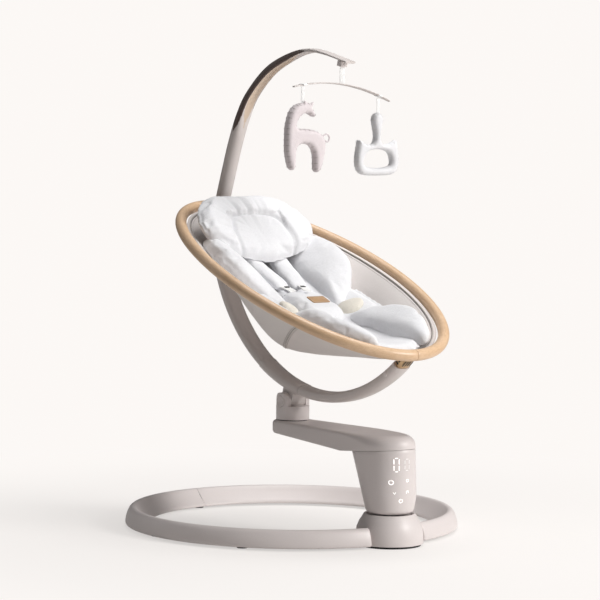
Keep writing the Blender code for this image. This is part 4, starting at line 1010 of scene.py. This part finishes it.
def inside_rim(t, inset, lift):
    """A point of the sling this far in from its hem, at angle t round the ring."""
    along, wide = SEAT_A - HEM - inset, SEAT_B - HEM - inset
    u, x = along * cos(t), wide * (1 - SEAT_EGG * cos(t)) * sin(t)
    return seat_to_world(u, x, sling_n(u, x) + lift)


def seam_u(share):
    """Where the back panel meets the seat panel: a V from the keel up to the rims."""
    return lerp(-0.004, -0.205, abs(share) ** 1.25)


def make_sling():
    turns = 200
    levels = [0.0, 0.0008, 0.0025, 0.006, 0.011] + list(np.linspace(0.018, SEAT_A - HEM, 44))
    verts, faces, values = [], [], []
    for lift in (0.0003, 0.0019):
        first = len(verts)
        for inset in levels:
            shrink = 1 - inset / (SEAT_A - HEM)
            for k in range(turns):
                t = 2 * pi * k / turns
                along, wide = (SEAT_A - HEM) * shrink, (SEAT_B - HEM) * shrink
                u, x = along * cos(t), wide * (1 - SEAT_EGG * cos(t)) * sin(t)
                verts.append(seat_to_world(u, x, sling_n(u, x) + lift))
                # The back panel's mask, for its painted shade.
                values.append(smooth((u - seam_u(x / max(rim_half(u), 0.001))) / 0.003 + 0.5))
        for r in range(len(levels) - 2):
            for k in range(turns):
                j = (k + 1) % turns
                a, c = first + r * turns, first + (r + 1) * turns
                face = (a + k, a + j, c + j, c + k)
                faces.append(face if lift > 0.001 else tuple(reversed(face)))
        last = first + (len(levels) - 2) * turns
        faces.append(tuple(last + k for k in range(turns)))
    shift = len(levels) * turns
    for k in range(turns):
        j = (k + 1) % turns
        faces.append((k, j, j + shift, k + shift))
    obj = piece("sling_fabric", verts, faces, "sling", "seat")
    layer = obj.data.attributes.new("panel", "FLOAT", "POINT")
    layer.data.foreach_set("value", np.array(values, np.float32)[:len(obj.data.vertices)])
    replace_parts(obj, "seat_sling")

    def outward(p):
        return p - seat_to_world(0.03, 0, 0.06)

    def inward(p):
        return seat_to_world(0.03, 0, 0.10) - p

    for side, sign in (("right", -1), ("left", 1)):
        places = [sign * v for v in np.linspace(0.0, 0.985, 70)]
        for number, shift_u in enumerate((-0.0048, 0.0048)):
            line = [on_sling(seam_u(v) + shift_u, v, -0.0004) for v in places]
            stitches(f"panel_seam_{side}_{number}", line, outward, "thread", "seat", 0.0046,
                     (0.0030, 0.0011, 0.0006))
        line = [on_sling(seam_u(v), v, 0.0) for v in places]
        cord_piece(f"panel_piping_{side}", line, 0.0014, "piping", "seat")
    around = [2 * pi * k / 240 for k in range(241)]
    stitches("hem_seam", [inside_rim(t, 0.0075, -0.0004) for t in around], outward, "thread", "seat", 0.0046,
             (0.0030, 0.0010, 0.0006))
    cord_piece("zip_line", [inside_rim(t, 0.0080, 0.0019) for t in around], 0.0007, "zip", "seat")
    cord_piece("zip_welt", [inside_rim(t, 0.0062, 0.0024) for t in around], 0.0011, "piping", "seat")
    stitches("zip_seam", [inside_rim(t, 0.0120, 0.0023) for t in around], inward, "thread", "seat", 0.0044,
             (0.0028, 0.0009, 0.0005))


# --- Cushions -----------------------------------------------------------------------------------------
CRADLE = [(-0.31, -0.004), (-0.29, -0.008), (-0.27, -0.015), (-0.20, -0.045), (-0.12, -0.062),
          (-0.05, -0.068), (0.03, -0.068), (0.10, -0.062), (0.165, -0.052), (0.20, -0.030), (0.23, 0.0)]


def cradle(u, x, lift=0.0):
    """The insert's upper surface: a shallow trough that rises to both sides."""
    trough = table(CRADLE, u) + 0.075 * (abs(x) / 0.15) ** 2.2
    return seat_to_world(u, x, max(trough, sling_n(u, x) + 0.0091) + lift)


def pad_mesh(name, outline, lift, top, bottom, look, spokes=64, rings=12, power=2.6):
    """A closed lens on the cradle inside an outline of (u, x) points."""
    edge = spline(outline, spokes, closed=True)
    middle = edge.mean(0)
    verts, rows = [], []
    for side in (1, -1):
        for ring in range(rings + 1):
            share = ring / rings
            if side < 0 and ring == rings:
                rows.append(rows[rings])
                continue
            row = []
            for u, x in (edge if ring else edge[:1]):
                uu, xx = middle + (np.array((u, x)) - middle) * share
                rise = (1 - share ** power) ** 0.5
                row.append(len(verts))
                verts.append(cradle(uu, xx, lift + (top * rise if side > 0 else -bottom * rise)))
            rows.append(row)
    faces = []
    for half in (0, rings + 1):
        flip = half > 0
        for ring in range(rings):
            low, high = rows[half + ring], rows[half + ring + 1]
            for k in range(spokes):
                j = (k + 1) % spokes
                if ring == 0:
                    face = (low[0], high[k], high[j])
                else:
                    face = (low[k], high[k], high[j], low[j])
                faces.append(tuple(reversed(face)) if flip else face)
    return piece(name, verts, faces, look, "seat", sharp=180)


def remesh(obj, voxel):
    mod = obj.modifiers.new("remesh", "REMESH")
    mod.mode = "VOXEL"
    mod.voxel_size = voxel
    bake(obj)


def bake(obj):
    """Applies an object's modifiers to its mesh."""
    graph = bpy.context.evaluated_depsgraph_get()
    mesh = bpy.data.meshes.new_from_object(obj.evaluated_get(graph), depsgraph=graph)
    obj.modifiers.clear()
    obj.data = mesh
    for poly in mesh.polygons:
        poly.use_smooth = True


def coords(obj):
    out = np.zeros(len(obj.data.vertices) * 3, np.float32)
    obj.data.vertices.foreach_get("co", out)
    return out.reshape(-1, 3).astype(float)


def set_coords(obj, values):
    obj.data.vertices.foreach_set("co", values.astype(np.float32).ravel())
    obj.data.update()


def puff(obj, voxel=0.005, pressure=4.0, cap=0.008, grow=0.0, frames=20):
    """Swells a pad with a short cloth simulation, so that its cover pulls and creases."""
    remesh(obj, voxel)
    rest = coords(obj)
    mod = obj.modifiers.new("cloth", "CLOTH")
    cloth = mod.settings
    cloth.quality = 6
    cloth.mass = 0.25
    cloth.tension_stiffness = cloth.compression_stiffness = 18
    cloth.shear_stiffness = 8
    cloth.bending_stiffness = 0.35
    cloth.use_pressure = True
    cloth.uniform_pressure_force = pressure
    cloth.shrink_min = -grow
    cloth.effector_weights.gravity = 0
    mod.collision_settings.use_collision = False
    mod.point_cache.frame_start, mod.point_cache.frame_end = 1, frames
    scene = bpy.context.scene
    for number in range(1, frames + 1):
        scene.frame_set(number)
        bpy.context.view_layer.update()
    bake(obj)
    moved = coords(obj) - rest
    size = np.linalg.norm(moved, axis=1)
    scale = np.minimum(1.0, cap / np.maximum(size, 1e-9))
    set_coords(obj, rest + moved * scale[:, None])
    scene.frame_set(1)
    mod = obj.modifiers.new("finer", "SUBSURF")
    mod.levels = mod.render_levels = 1
    bake(obj)
    above_sling(obj)
    return obj


def normals_of(obj):
    out = np.zeros(len(obj.data.vertices) * 3, np.float32)
    obj.data.vertices.foreach_get("normal", out)
    return out.reshape(-1, 3).astype(float)


def seat_coords(points):
    """(u, x, n) of world points."""
    y, z = points[:, 1] - SEAT_Y, points[:, 2] - SEAT_Z
    c, s = cos(SEAT_TILT), sin(SEAT_TILT)
    return np.stack([y * c + z * s, points[:, 0], -y * s + z * c], 1)


def above_sling(obj, gap=0.0032):
    """Lifts what has sunk through the sling."""
    local = seat_coords(coords(obj))
    out = [seat_to_world(u, x, max(n, sling_n(u, x) + gap)) for u, x, n in local]
    set_coords(obj, np.array([tuple(p) for p in out]))


def line_distance(points, line):
    """Distance of 2-D points from a polyline, and how far along it the nearest place is."""
    best = np.full(len(points), 1e9)
    along = np.zeros(len(points))
    gone = 0.0
    for a, b in zip(line, line[1:]):
        a, b = np.array(a, float), np.array(b, float)
        d = b - a
        size = np.linalg.norm(d)
        t = np.clip((points - a) @ d / size ** 2, 0, 1)
        dist = np.linalg.norm(points - (a + t[:, None] * d), axis=1)
        near = dist < best
        best = np.where(near, dist, best)
        along = np.where(near, gone + t * size, along)
        gone += size
    return best, along


def wrinkle(obj, amount, scale, seed, mask=None):
    """Soft uneven creases, drawn out along one direction."""
    pts, nrm = coords(obj), normals_of(obj)
    out = pts.copy()
    for i, p in enumerate(pts):
        q = Vector((p[0] * scale[0], p[1] * scale[1], p[2] * scale[2])) + Vector((seed, seed * 1.7, 0))
        value = noise.noise(q) + 0.5 * noise.noise(q * 2.1)
        weight = 1.0 if mask is None else mask[i]
        out[i] += nrm[i] * amount * weight * value
    set_coords(obj, out)


def mirrored(outline, side):
    return [(u, x * side) for u, x in outline]


WING = [(0.178, 0.095), (0.168, 0.124), (0.135, 0.139), (0.105, 0.145), (0.077, 0.145), (0.048, 0.141),
        (0.026, 0.132), (0.005, 0.118), (-0.014, 0.100), (-0.036, 0.078), (-0.056, 0.056),
        (-0.048, 0.050), (-0.026, 0.056), (0.0, 0.062), (0.034, 0.064), (0.070, 0.064),
        (0.105, 0.062), (0.140, 0.064)]
LEG = [(-0.076, 0.050), (-0.074, 0.070), (-0.086, 0.092), (-0.112, 0.113), (-0.152, 0.126),
       (-0.195, 0.121), (-0.235, 0.104), (-0.272, 0.076), (-0.285, 0.055), (-0.262, 0.048),
       (-0.215, 0.050), (-0.165, 0.050), (-0.120, 0.044)]
LINER = [(0.205, 0.0), (0.200, 0.060), (0.185, 0.098), (0.130, 0.112), (0.060, 0.112), (0.012, 0.118),
         (-0.030, 0.124), (-0.075, 0.124), (-0.120, 0.118), (-0.180, 0.112), (-0.235, 0.094),
         (-0.275, 0.064), (-0.293, 0.030), (-0.297, 0.0)]


def make_insert():
    liner = LINER + [(u, -x) for u, x in LINER[-2:0:-1]]
    body = pad_mesh("insert_body", liner, -0.006, 0.006, 0.016, "white", 120, 20, 6.0)
    puff(body, 0.0048, 2.5, 0.005, 0.02)
    even = body.modifiers.new("even", "SMOOTH")
    even.factor, even.iterations = 0.5, 10
    bake(body)
    above_sling(body, 0.0030)
    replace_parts(body, "body_liner")
    for name, side in (("left", 1), ("right", -1)):
        wing = pad_mesh(f"insert_wing_{name}", mirrored(WING, side), -0.010, 0.036, 0.032, "white")
        puff(wing, 0.0048, 4, 0.0050, 0.03)
        wrinkle(wing, 0.0012, (16, 16, 16), 3.1 + side)
        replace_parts(wing, f"side_wing_{name}")
        leg = pad_mesh(f"insert_leg_{name}", mirrored(LEG, side), -0.004, 0.031, 0.016, "white")
        puff(leg, 0.0048, 4, 0.0050, 0.03)
        wrinkle(leg, 0.0012, (16, 16, 16), 7.3 + side)
        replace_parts(leg, f"leg_cushion_{name}")
        waist = [(-0.034, 0.058), (-0.036, 0.082), (-0.050, 0.098), (-0.066, 0.094), (-0.074, 0.074),
                 (-0.066, 0.054), (-0.048, 0.048)]
        pad = pad_mesh(f"waist_roll_{name}", mirrored(waist, side), 0.004, 0.015, 0.012, "cream", 32, 8, 2.2)
        puff(pad, 0.004, 4, 0.004)
        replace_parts(pad, f"waist_pad_{name}")


# --- Head pillow --------------------------------------------------------------------------------------
PILLOW_LEAN = radians(45)
PILLOW_E = Vector((0, cos(PILLOW_LEAN), sin(PILLOW_LEAN)))
PILLOW_N = Vector((0, -sin(PILLOW_LEAN), cos(PILLOW_LEAN)))
PILLOW_AT = Vector((-0.002, 0.4005, 0.5570))
PILLOW = [(0, 0.080), (0.045, 0.078), (0.080, 0.069), (0.104, 0.050), (0.121, 0.025), (0.129, -0.002),
          (0.127, -0.024), (0.119, -0.043), (0.106, -0.059), (0.088, -0.069), (0.064, -0.075),
          (0.034, -0.082), (0, -0.085)]
INNER = [(-0.060, -0.084), (-0.066, -0.050), (-0.062, -0.015), (-0.048, 0.012), (-0.020, 0.021),
         (0.020, 0.021), (0.048, 0.012), (0.062, -0.015), (0.066, -0.050), (0.060, -0.084)]


FOLDS = [(0.046, 0.0040, 0.0018, 0.016), (0.063, 0.0030, -0.0020, 0.024), (0.080, 0.0045, 0.0022, 0.020),
         (0.092, 0.0028, -0.0022, 0.030), (0.103, 0.0034, 0.0026, 0.022), (0.119, 0.0030, -0.0024, 0.034),
         (0.128, 0.0042, 0.0020, 0.018), (0.146, 0.0034, -0.0026, 0.036), (0.157, 0.0040, 0.0026, 0.026),
         (0.170, 0.0030, -0.0018, 0.022), (0.187, 0.0046, 0.0020, 0.030), (0.203, 0.0032, -0.0022, 0.026),
         (0.222, 0.0050, 0.0016, 0.020)]


def pillow_point(x, e, m):
    wrap = 0.022 * (x / 0.135) ** 2
    return PILLOW_AT + Vector((1, 0, 0)) * x + PILLOW_E * e + PILLOW_N * (m + wrap - 0.012)


def pillow_coords(points):
    d = points - np.array(PILLOW_AT)
    x = d[:, 0]
    wrap = 0.022 * (x / 0.135) ** 2
    return np.stack([x, d @ np.array(PILLOW_E), d @ np.array(PILLOW_N) - wrap + 0.012], 1)


def make_pillow():
    outline = PILLOW + [(-x, e) for x, e in PILLOW[-2:0:-1]]
    edge = spline(outline, 80, closed=True)
    rings = 12
    verts, rows = [], []
    for side in (1, -1):
        for ring in range(rings + 1):
            share = ring / rings
            if side < 0 and ring == rings:
                rows.append(rows[rings])
                continue
            row = []
            for x, e in (edge if ring else edge[:1]):
                rise = (1 - share ** 3.0) ** 0.5
                row.append(len(verts))
                verts.append(pillow_point(x * share * 1.05, e * share * 1.05,
                                          (0.022 if side > 0 else -0.012) * rise))
            rows.append(row)
    faces = []
    for half in (0, rings + 1):
        for ring in range(rings):
            low, high = rows[half + ring], rows[half + ring + 1]
            for k in range(80):
                j = (k + 1) % 80
                face = (low[0], high[k], high[j]) if ring == 0 else (low[k], high[k], high[j], low[j])
                faces.append(face if half == 0 else tuple(reversed(face)))
    pillow = piece("head_cushion", verts, faces, "white", "seat", sharp=180)
    puff(pillow, 0.0045, 4, 0.0050, 0.03)
    pts, nrm = coords(pillow), normals_of(pillow)
    local = pillow_coords(pts)
    front = np.clip((nrm @ np.array(PILLOW_N)) * 2.0, 0, 1)
    seam = spline(INNER, 60)
    dist, along = line_distance(local[:, :2], seam)
    inside = (np.abs(local[:, 0]) < 0.064) & (local[:, 1] < 0.020)
    sink = 0.0060 * np.exp(-(dist / 0.0050) ** 2)
    fold = np.zeros(len(pts))
    for at, width, height, reach in FOLDS:
        across = (along - at) / width
        fold += height * np.exp(-across ** 2) * np.exp(-((dist - 0.012) / reach) ** 2)
    fold *= np.where(inside, 0.35, 1.0)
    flat = np.where(inside, 0.004, 0.0)
    pts += np.array(PILLOW_N) * ((fold - sink - flat) * front)[:, None]
    set_coords(pillow, pts)
    wrinkle(pillow, 0.0010, (22, 14, 14), 5.2)
    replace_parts(pillow, "head_pillow", "head_pad")


# --- Harness ------------------------------------------------------------------------------------------
def make_harness():
    for name, side in (("left", 1), ("right", -1)):
        top, low = 0.030 * side, 0.020 * side
        outline = [(0.140, top + 0.017), (0.130, top + 0.020), (0.080, (top + low) / 2 + 0.020),
                   (0.044, low + 0.018), (0.033, low + 0.011), (0.031, low - 0.009), (0.041, low - 0.017),
                   (0.080, (top + low) / 2 - 0.019), (0.130, top - 0.018), (0.140, top - 0.015)]
        pad = pad_mesh(f"shoulder_cover_{name}", outline, 0.020, 0.010, 0.010, "white", 48, 8, 3.4)
        puff(pad, 0.004, 4, 0.003, 0.02)
        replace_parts(pad, f"shoulder_pad_{name}")
    half = [(-0.098, 0.0), (-0.094, 0.026), (-0.080, 0.042), (-0.048, 0.049), (-0.010, 0.046), (0.014, 0.038),
            (0.024, 0.024), (0.019, 0.010), (0.011, 0.0)]
    outline = half + [(u, -x) for u, x in half[-2:0:-1]]
    pad = pad_mesh("crotch_cover", outline, 0.010, 0.019, 0.014, "white", 72, 10, 2.8)
    puff(pad, 0.004, 5, 0.004, 0.02)
    make_buckle()
    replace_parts(pad, "crotch_pad")
    make_label(pad)


def make_buckle():
    """The two belt tongues that plug into the crotch pad, and black sheets for the painted shade in their
    slots.
    """
    for name, side in (("left", 1), ("right", -1)):
        x = 0.019 * side
        top = [seat_to_world(u, x + (u - 0.02) * 0.2 * side, n) for u, n in
               ((0.046, -0.0450), (0.034, -0.0425), (0.022, -0.0412), (0.010, -0.0410))]
        ribbon(f"belt_tongue_{name}", top, UP, 0.017, 0.0022, "white_moulding", "seat")
        # Painted shade: a thin black strip at each tongue's end stands for the shade in the buckle's slot.
        slot = [seat_to_world(u, x, n) for u, n in ((0.0300, -0.0405), (0.0250, -0.0398))]
        ribbon(f"buckle_slot_shade_{name}", slot, UP, 0.010, 0.0014, "black", "seat")


def make_label(pad):
    """A blank leather tag, stitched round its edge, that lies on the crotch pad."""
    graph = bpy.context.evaluated_depsgraph_get()
    tree = BVHTree.FromObject(pad, graph)
    centre_u, centre_x = -0.040, 0.003
    half_u, half_x, corner = 0.0120, 0.0200, 0.0028

    def on_pad(du, dx, out):
        start = cradle(centre_u + du, centre_x + dx, 0.09)
        hit, _, _, _ = tree.ray_cast(start, -UP)
        return (hit or cradle(centre_u + du, centre_x + dx, 0.037)) + UP * out

    outline = loop(2 * half_u, 2 * half_x, corner, 5)[:-1]
    verts, faces, rows = [], [], []
    for share, out in ((1.0, 0.0002), (1.0, 0.0013), (0.975, 0.0018), (0.88, 0.0018), (0.84, 0.0015),
                       (0.79, 0.0018), (0.4, 0.0019)):
        row = []
        for u, x in outline:
            row.append(len(verts))
            verts.append(on_pad(u * share, x * share, out))
        rows.append(row)
    for low, high in zip(rows, rows[1:]):
        for k in range(len(outline)):
            j = (k + 1) % len(outline)
            faces.append((low[k], low[j], high[j], high[k]))
    middle = len(verts)
    verts.append(on_pad(0, 0, 0.0019))
    for k in range(len(outline)):
        faces.append((rows[-1][k], rows[-1][(k + 1) % len(outline)], middle))
    tag = piece("leather_tag", verts, faces, "leather", "seat")
    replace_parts(tag, "crotch_label")
    edge = loop(2 * half_u * 0.86, 2 * half_x * 0.91, corner * 0.8, 5)
    stitches("tag_stitching", [on_pad(u, x, 0.0017) for u, x in edge], lambda p: UP, "thread", "seat",
             0.0030, (0.0020, 0.0006, 0.0004))


# --- Mobile -------------------------------------------------------------------------------------------
ARM_LINE = [(0, 0.4955, 0.6070), (0, 0.4782, 0.6585), (0, 0.4600, 0.7100), (0, 0.4369, 0.7615),
            (0, 0.4084, 0.8034), (0, 0.3530, 0.8487), (0, 0.2850, 0.8760), (0, 0.2350, 0.8845),
            (0, 0.1896, 0.8790), (0, 0.1250, 0.8630)]


def bar_height(x):
    return BAR_Z + 0.0012 - 1.35 * x * x - 0.108 * x


def arm_section(share):
    """Round at the foot, then scooped out on its inner side to a thin blade."""
    bend = lerp(MOBILE_R, 0.0080, smooth((share - 0.20) / 0.25))
    thin = lerp(bend, 0.0024, smooth((share - 0.55) / 0.38))
    wide = lerp(MOBILE_R, 0.0115, smooth((share - 0.3) / 0.6))
    scoop = smooth((share - 0.22) / 0.26) * (1 - smooth((share - 0.80) / 0.12))
    out = []
    for a, b in oval(wide, thin, 56, lerp(2.0, 3.2, smooth((share - 0.2) / 0.3))):
        if b < 0:
            groove = max(1 - (a / (0.78 * wide)) ** 2, 0.0)
            b += min(-b, 1.1 * thin) * groove * 0.85 * scoop
        out.append((a, b))
    return out


def plush(name, outlines, half, look, body, round_over=0.010, voxel=0.0022):
    """A stuffed flat shape: outlines of (x, z) points, the first outer and the rest holes."""
    curve = bpy.data.curves.new(name, "CURVE")
    curve.dimensions = "2D"
    curve.fill_mode = "BOTH"
    curve.extrude = 0.003
    for line in outlines:
        path = curve.splines.new("POLY")
        path.points.add(len(line) - 1)
        for point, (x, z) in zip(path.points, line):
            point.co = (x, z, 0, 1)
        path.use_cyclic_u = True
    obj = bpy.data.objects.new(name + "_flat", curve)
    bpy.context.scene.collection.objects.link(obj)
    graph = bpy.context.evaluated_depsgraph_get()
    mesh = bpy.data.meshes.new_from_object(obj.evaluated_get(graph))
    bpy.data.objects.remove(obj)
    made = bpy.data.objects.new(name, mesh)
    bpy.context.scene.collection.objects.link(made)
    weld = made.modifiers.new("weld", "WELD")
    weld.merge_threshold = 0.00005
    bake(made)
    remesh(made, voxel)
    pts = coords(made)
    dist = np.full(len(pts), 1e9)
    for line in outlines:
        d, _ = line_distance(pts[:, :2], list(line) + [line[0]])
        dist = np.minimum(dist, d)
    share = np.clip(dist / round_over, 0, 1)
    thick = half * np.sqrt(1 - (1 - share) ** 2) + 0.0008
    level = np.clip(pts[:, 2] / 0.003, -1, 1)
    world = np.stack([pts[:, 0], MOBILE_Y - level * thick, pts[:, 1]], 1)
    set_coords(made, world)
    flip = bmesh.new()
    flip.from_mesh(made.data)
    bmesh.ops.smooth_vert(flip, verts=flip.verts, factor=0.5, use_axis_x=True, use_axis_y=True,
                          use_axis_z=True)
    bmesh.ops.recalc_face_normals(flip, faces=flip.faces)
    flip.to_mesh(made.data)
    flip.free()
    made.data.materials.clear()
    made.data.materials.append(MATERIAL[look])
    for poly in made.data.polygons:
        poly.use_smooth = True
    mod = made.modifiers.new("finer", "SUBSURF")
    mod.levels = mod.render_levels = 1
    bake(made)
    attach(made, body)
    return made


def make_mobile():
    path = spline(ARM_LINE, 130)
    up = (Vector(path[1]) - Vector(path[0])).normalized()
    foot = Vector(path[0])
    path = [foot - up * 0.0146, foot - up * 0.0142, foot - up * 0.0135] + [Vector(p) for p in path]
    sections = [oval(MOBILE_R - 0.0008, MOBILE_R - 0.0008, 56)] + [oval(MOBILE_R, MOBILE_R, 56)] * 2
    count = len(path)

    def section(share):
        index = round(share * (count - 1))
        return sections[index] if index < 3 else arm_section((index - 3) / (count - 4))

    rows = swept_rows(path, section)
    arm = rows_piece("mobile_rod", rows, "tube", "mobile", sharp=80)
    # Painted shade: along the bend the rod's side faces take a dark brown (index 1), standing for the shade
    # on its sides.
    arm.data.materials.append(MATERIAL["arm_side_shade"])
    # Painted shade: the inner scoop's faces take a darker tan (index 2), standing for the shade in the
    # hollow.
    arm.data.materials.append(MATERIAL["scoop_shade"])
    for poly in arm.data.polygons:
        row, place = divmod(poly.index, 56)
        share = (row - 3) / (count - 4)
        side = abs(cos(2 * pi * (place + 1) / 56))
        low = sin(2 * pi * (place + 1) / 56) < 0
        if len(poly.vertices) != 4:
            continue
        if side > lerp(1.05, 0.70, smooth((share - 0.22) / 0.14)) + 0.4 * smooth((share - 0.66) / 0.16):
            poly.material_index = 1
        elif low and side < 0.62 * smooth((share - 0.27) / 0.10) * (1 - smooth((share - 0.62) / 0.1)):
            poly.material_index = 2
    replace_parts(arm, "mobile_arm")
    keep("mobile_clip", "plastic", 0.0008)

    strap_top, clip_low = 0.8538, 0.8575
    pin = [Vector((0, MOBILE_Y, z)) for z in (clip_low, lerp(clip_low, strap_top, 0.5), strap_top + 0.0003)]
    cord_piece("ribbon_pin", pin, 0.0024, "plastic", "mobile", 16)
    points = [Vector((0, MOBILE_Y, z)) for z in np.linspace(strap_top, bar_height(0) + 0.001, 14)]
    strap = ribbon("bar_ribbon", points, (0, 1, 0), 0.0118, 0.0009, "ribbon", "toy_bar")
    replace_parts(strap, "bar_strap")
    rows = []
    for k in range(65):
        x = lerp(-BAR_HALF, BAR_HALF, k / 64)
        half = lerp(0.0035, 0.0095, sqrt(max(1 - (x / BAR_HALF) ** 2, 0)))
        rows.append([(x, MOBILE_Y + a, bar_height(x) + b) for a, b in oval(half, 0.0012, 16, 3.0)])
    bar = rows_piece("bow_bar", rows, "tube", "toy_bar")
    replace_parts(bar, "toy_bar")
    for name, node, x, body, low in (("animal_ribbon", "animal_strap", -0.0925, "animal", 0.7900),
                                     ("ring_ribbon", "ring_strap", 0.0870, "cat_ring", 0.7700)):
        band = [[(x + dx, MOBILE_Y + a, bar_height(x + dx) + b) for a, b in oval(size, 0.0021, 20, 3.0)]
                for dx, size in ((-0.0040, 0.0078), (-0.0036, 0.0082), (0.0036, 0.0082), (0.0040, 0.0078))]
        rows_piece(name + "_loop", band, "ribbon", "toy_bar")
        slope = abs(2.7 * x + 0.108)
        points = [Vector((x, MOBILE_Y, z))
                  for z in np.linspace(bar_height(x) - 0.0034 - 0.004 * slope, low, 10)]
        strap = ribbon(name, points, (0, 1, 0), 0.0072, 0.0009, "ribbon", body)
        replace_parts(strap, node)
    make_animal()
    make_cat_ring()


def edge_stitches(name, outline, half, round_over, body, look):
    """Blanket stitches round a flat toy's front and back edges."""
    pts = spline(outline, 3 * (len(outline) // 3) * 2, closed=True)
    after, before = np.roll(pts, -1, 0), np.roll(pts, 1, 0)
    ahead = after - before
    ahead /= np.linalg.norm(ahead, axis=1)[:, None]
    inward = np.stack([-ahead[:, 1], ahead[:, 0]], 1)
    area = float(np.sum(pts[:, 0] * after[:, 1] - after[:, 0] * pts[:, 1]))
    inward *= 1 if area > 0 else -1
    verts, faces = [], []
    for side in (-1, 1):
        for k in range(0, len(pts), 5):
            first = len(verts)
            for depth, lift in ((0.0002, 0.0), (0.0016, 0.0005), (0.0032, 0.0005), (0.0042, 0.0)):
                share = min(depth / round_over, 1)
                thick = half * sqrt(1 - (1 - share) ** 2) + 0.0006 + lift
                place = pts[k] + inward[k] * depth
                for across in (-0.00045, 0.0, 0.00045):
                    q = place + ahead[k] * across
                    verts.append((q[0], MOBILE_Y + side * (thick + (0.0002 if across == 0 else 0)), q[1]))
            for row in range(3):
                for col in range(2):
                    a = first + 3 * row + col
                    faces.append((a, a + 1, a + 4, a + 3))
    return piece(name, verts, faces, look, body)


def make_animal():
    left, top = -0.1325, 0.7930
    shape = [(0.0290, -0.0050), (0.0400, -0.0035), (0.0560, -0.0040), (0.0600, -0.0130), (0.0675, -0.0240),
             (0.0650, -0.0300), (0.0560, -0.0262), (0.0466, -0.0225), (0.0340, -0.0280), (0.0246, -0.0400),
             (0.0264, -0.0485), (0.0400, -0.0500), (0.0560, -0.0511), (0.0740, -0.0550), (0.0850, -0.0625),
             (0.0918, -0.0792), (0.0880, -0.1040), (0.0810, -0.1240), (0.0735, -0.1290), (0.0670, -0.1245),
             (0.0655, -0.0980), (0.0580, -0.0830), (0.0452, -0.0775), (0.0310, -0.0800), (0.0236, -0.0910),
             (0.0225, -0.1180), (0.0160, -0.1250), (0.0090, -0.1210), (0.0035, -0.1040), (0.0008, -0.0876),
             (0.0006, -0.0640), (0.0020, -0.0438), (0.0090, -0.0209), (0.0180, -0.0100)]
    outline = [(left + u, top + v) for u, v in spline(shape, 130, closed=True)]
    toy = plush("stuffed_animal", [outline], 0.0095, "knit", "animal", 0.009)
    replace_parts(toy, "animal_toy")
    edge_stitches("animal_edge", outline, 0.0095, 0.009, "animal", "thread")
    for number, (start, end) in enumerate((((-0.0855, 0.7835), (-0.0915, 0.7930)),
                                           ((-0.0760, 0.7815), (-0.0672, 0.7905)))):
        path = [(lerp(start[0], end[0], t), MOBILE_Y - 0.004 + 0.004 * number, lerp(start[1], end[1], t))
                for t in (0, 0.25, 0.5, 0.75, 1)]
        fine = spline(path, 10)
        rows = swept_rows(
            fine, lambda s: oval(0.0050 * (1 - s) ** 0.7 + 0.0006, 0.0022 * (1 - s) ** 0.5 + 0.0004, 12),
            Vector((0, 0, 1)).cross(Vector((0, 1, 0))))
        rows_piece(f"animal_ear_{number}", rows, "knit", "animal")
    tail = [(left + 0.087, MOBILE_Y, top - 0.064), (left + 0.096, MOBILE_Y - 0.002, top - 0.060),
            (left + 0.1015, MOBILE_Y - 0.003, top - 0.066), (left + 0.098, MOBILE_Y - 0.003, top - 0.0735),
            (left + 0.090, MOBILE_Y - 0.002, top - 0.071)]
    cord_piece("animal_tail", [Vector(p) for p in spline(tail, 20)], 0.0016, "knit", "animal")
    verts = []
    bm = bmesh.new()
    bmesh.ops.create_uvsphere(bm, u_segments=12, v_segments=8, radius=0.0014)
    for v in bm.verts:
        verts.append(Vector((v.co.x, v.co.y * 0.6, v.co.z)) + Vector((left + 0.0510, MOBILE_Y - 0.0092,
                                                                    top - 0.0130)))
    faces = [tuple(v.index for v in f.verts) for f in bm.faces]
    bm.free()
    piece("animal_eye", verts, faces, "black", "animal")


def make_cat_ring():
    mid, low = 0.0845, 0.6575
    outer = [(-0.040, 0.003), (-0.049, 0.014), (-0.051, 0.032), (-0.047, 0.056), (-0.045, 0.066),
             (-0.036, 0.062), (-0.026, 0.058), (-0.012, 0.058), (-0.006, 0.070), (-0.010, 0.092),
             (-0.012, 0.104), (-0.006, 0.114), (0.006, 0.114), (0.012, 0.104), (0.010, 0.092),
             (0.006, 0.070), (0.012, 0.058), (0.026, 0.058), (0.036, 0.062), (0.045, 0.065),
             (0.047, 0.055), (0.051, 0.032), (0.049, 0.014), (0.040, 0.003), (0.022, 0.000),
             (-0.022, 0.000)]
    hole = [(-0.030, 0.018), (0.0, 0.014), (0.030, 0.018), (0.033, 0.030), (0.024, 0.043),
            (0.0, 0.048), (-0.024, 0.043), (-0.033, 0.030)]
    lines = [[(mid + u, low + v) for u, v in spline(s, n, closed=True)]
             for s, n in ((outer, 120), (hole, 60))]
    toy = plush("plush_ring", lines, 0.0090, "white", "cat_ring", 0.008)
    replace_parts(toy, "cat_ring_toy")
    edge_stitches("ring_edge", lines[0], 0.0090, 0.008, "cat_ring", "white_thread")


# --- The whole scene ----------------------------------------------------------------------------------
def main():
    make_studio()
    make_base()
    make_column()
    make_arm()
    make_hub()
    make_frame()
    make_sling()
    make_insert()
    make_pillow()
    make_harness()
    make_mobile()


main()
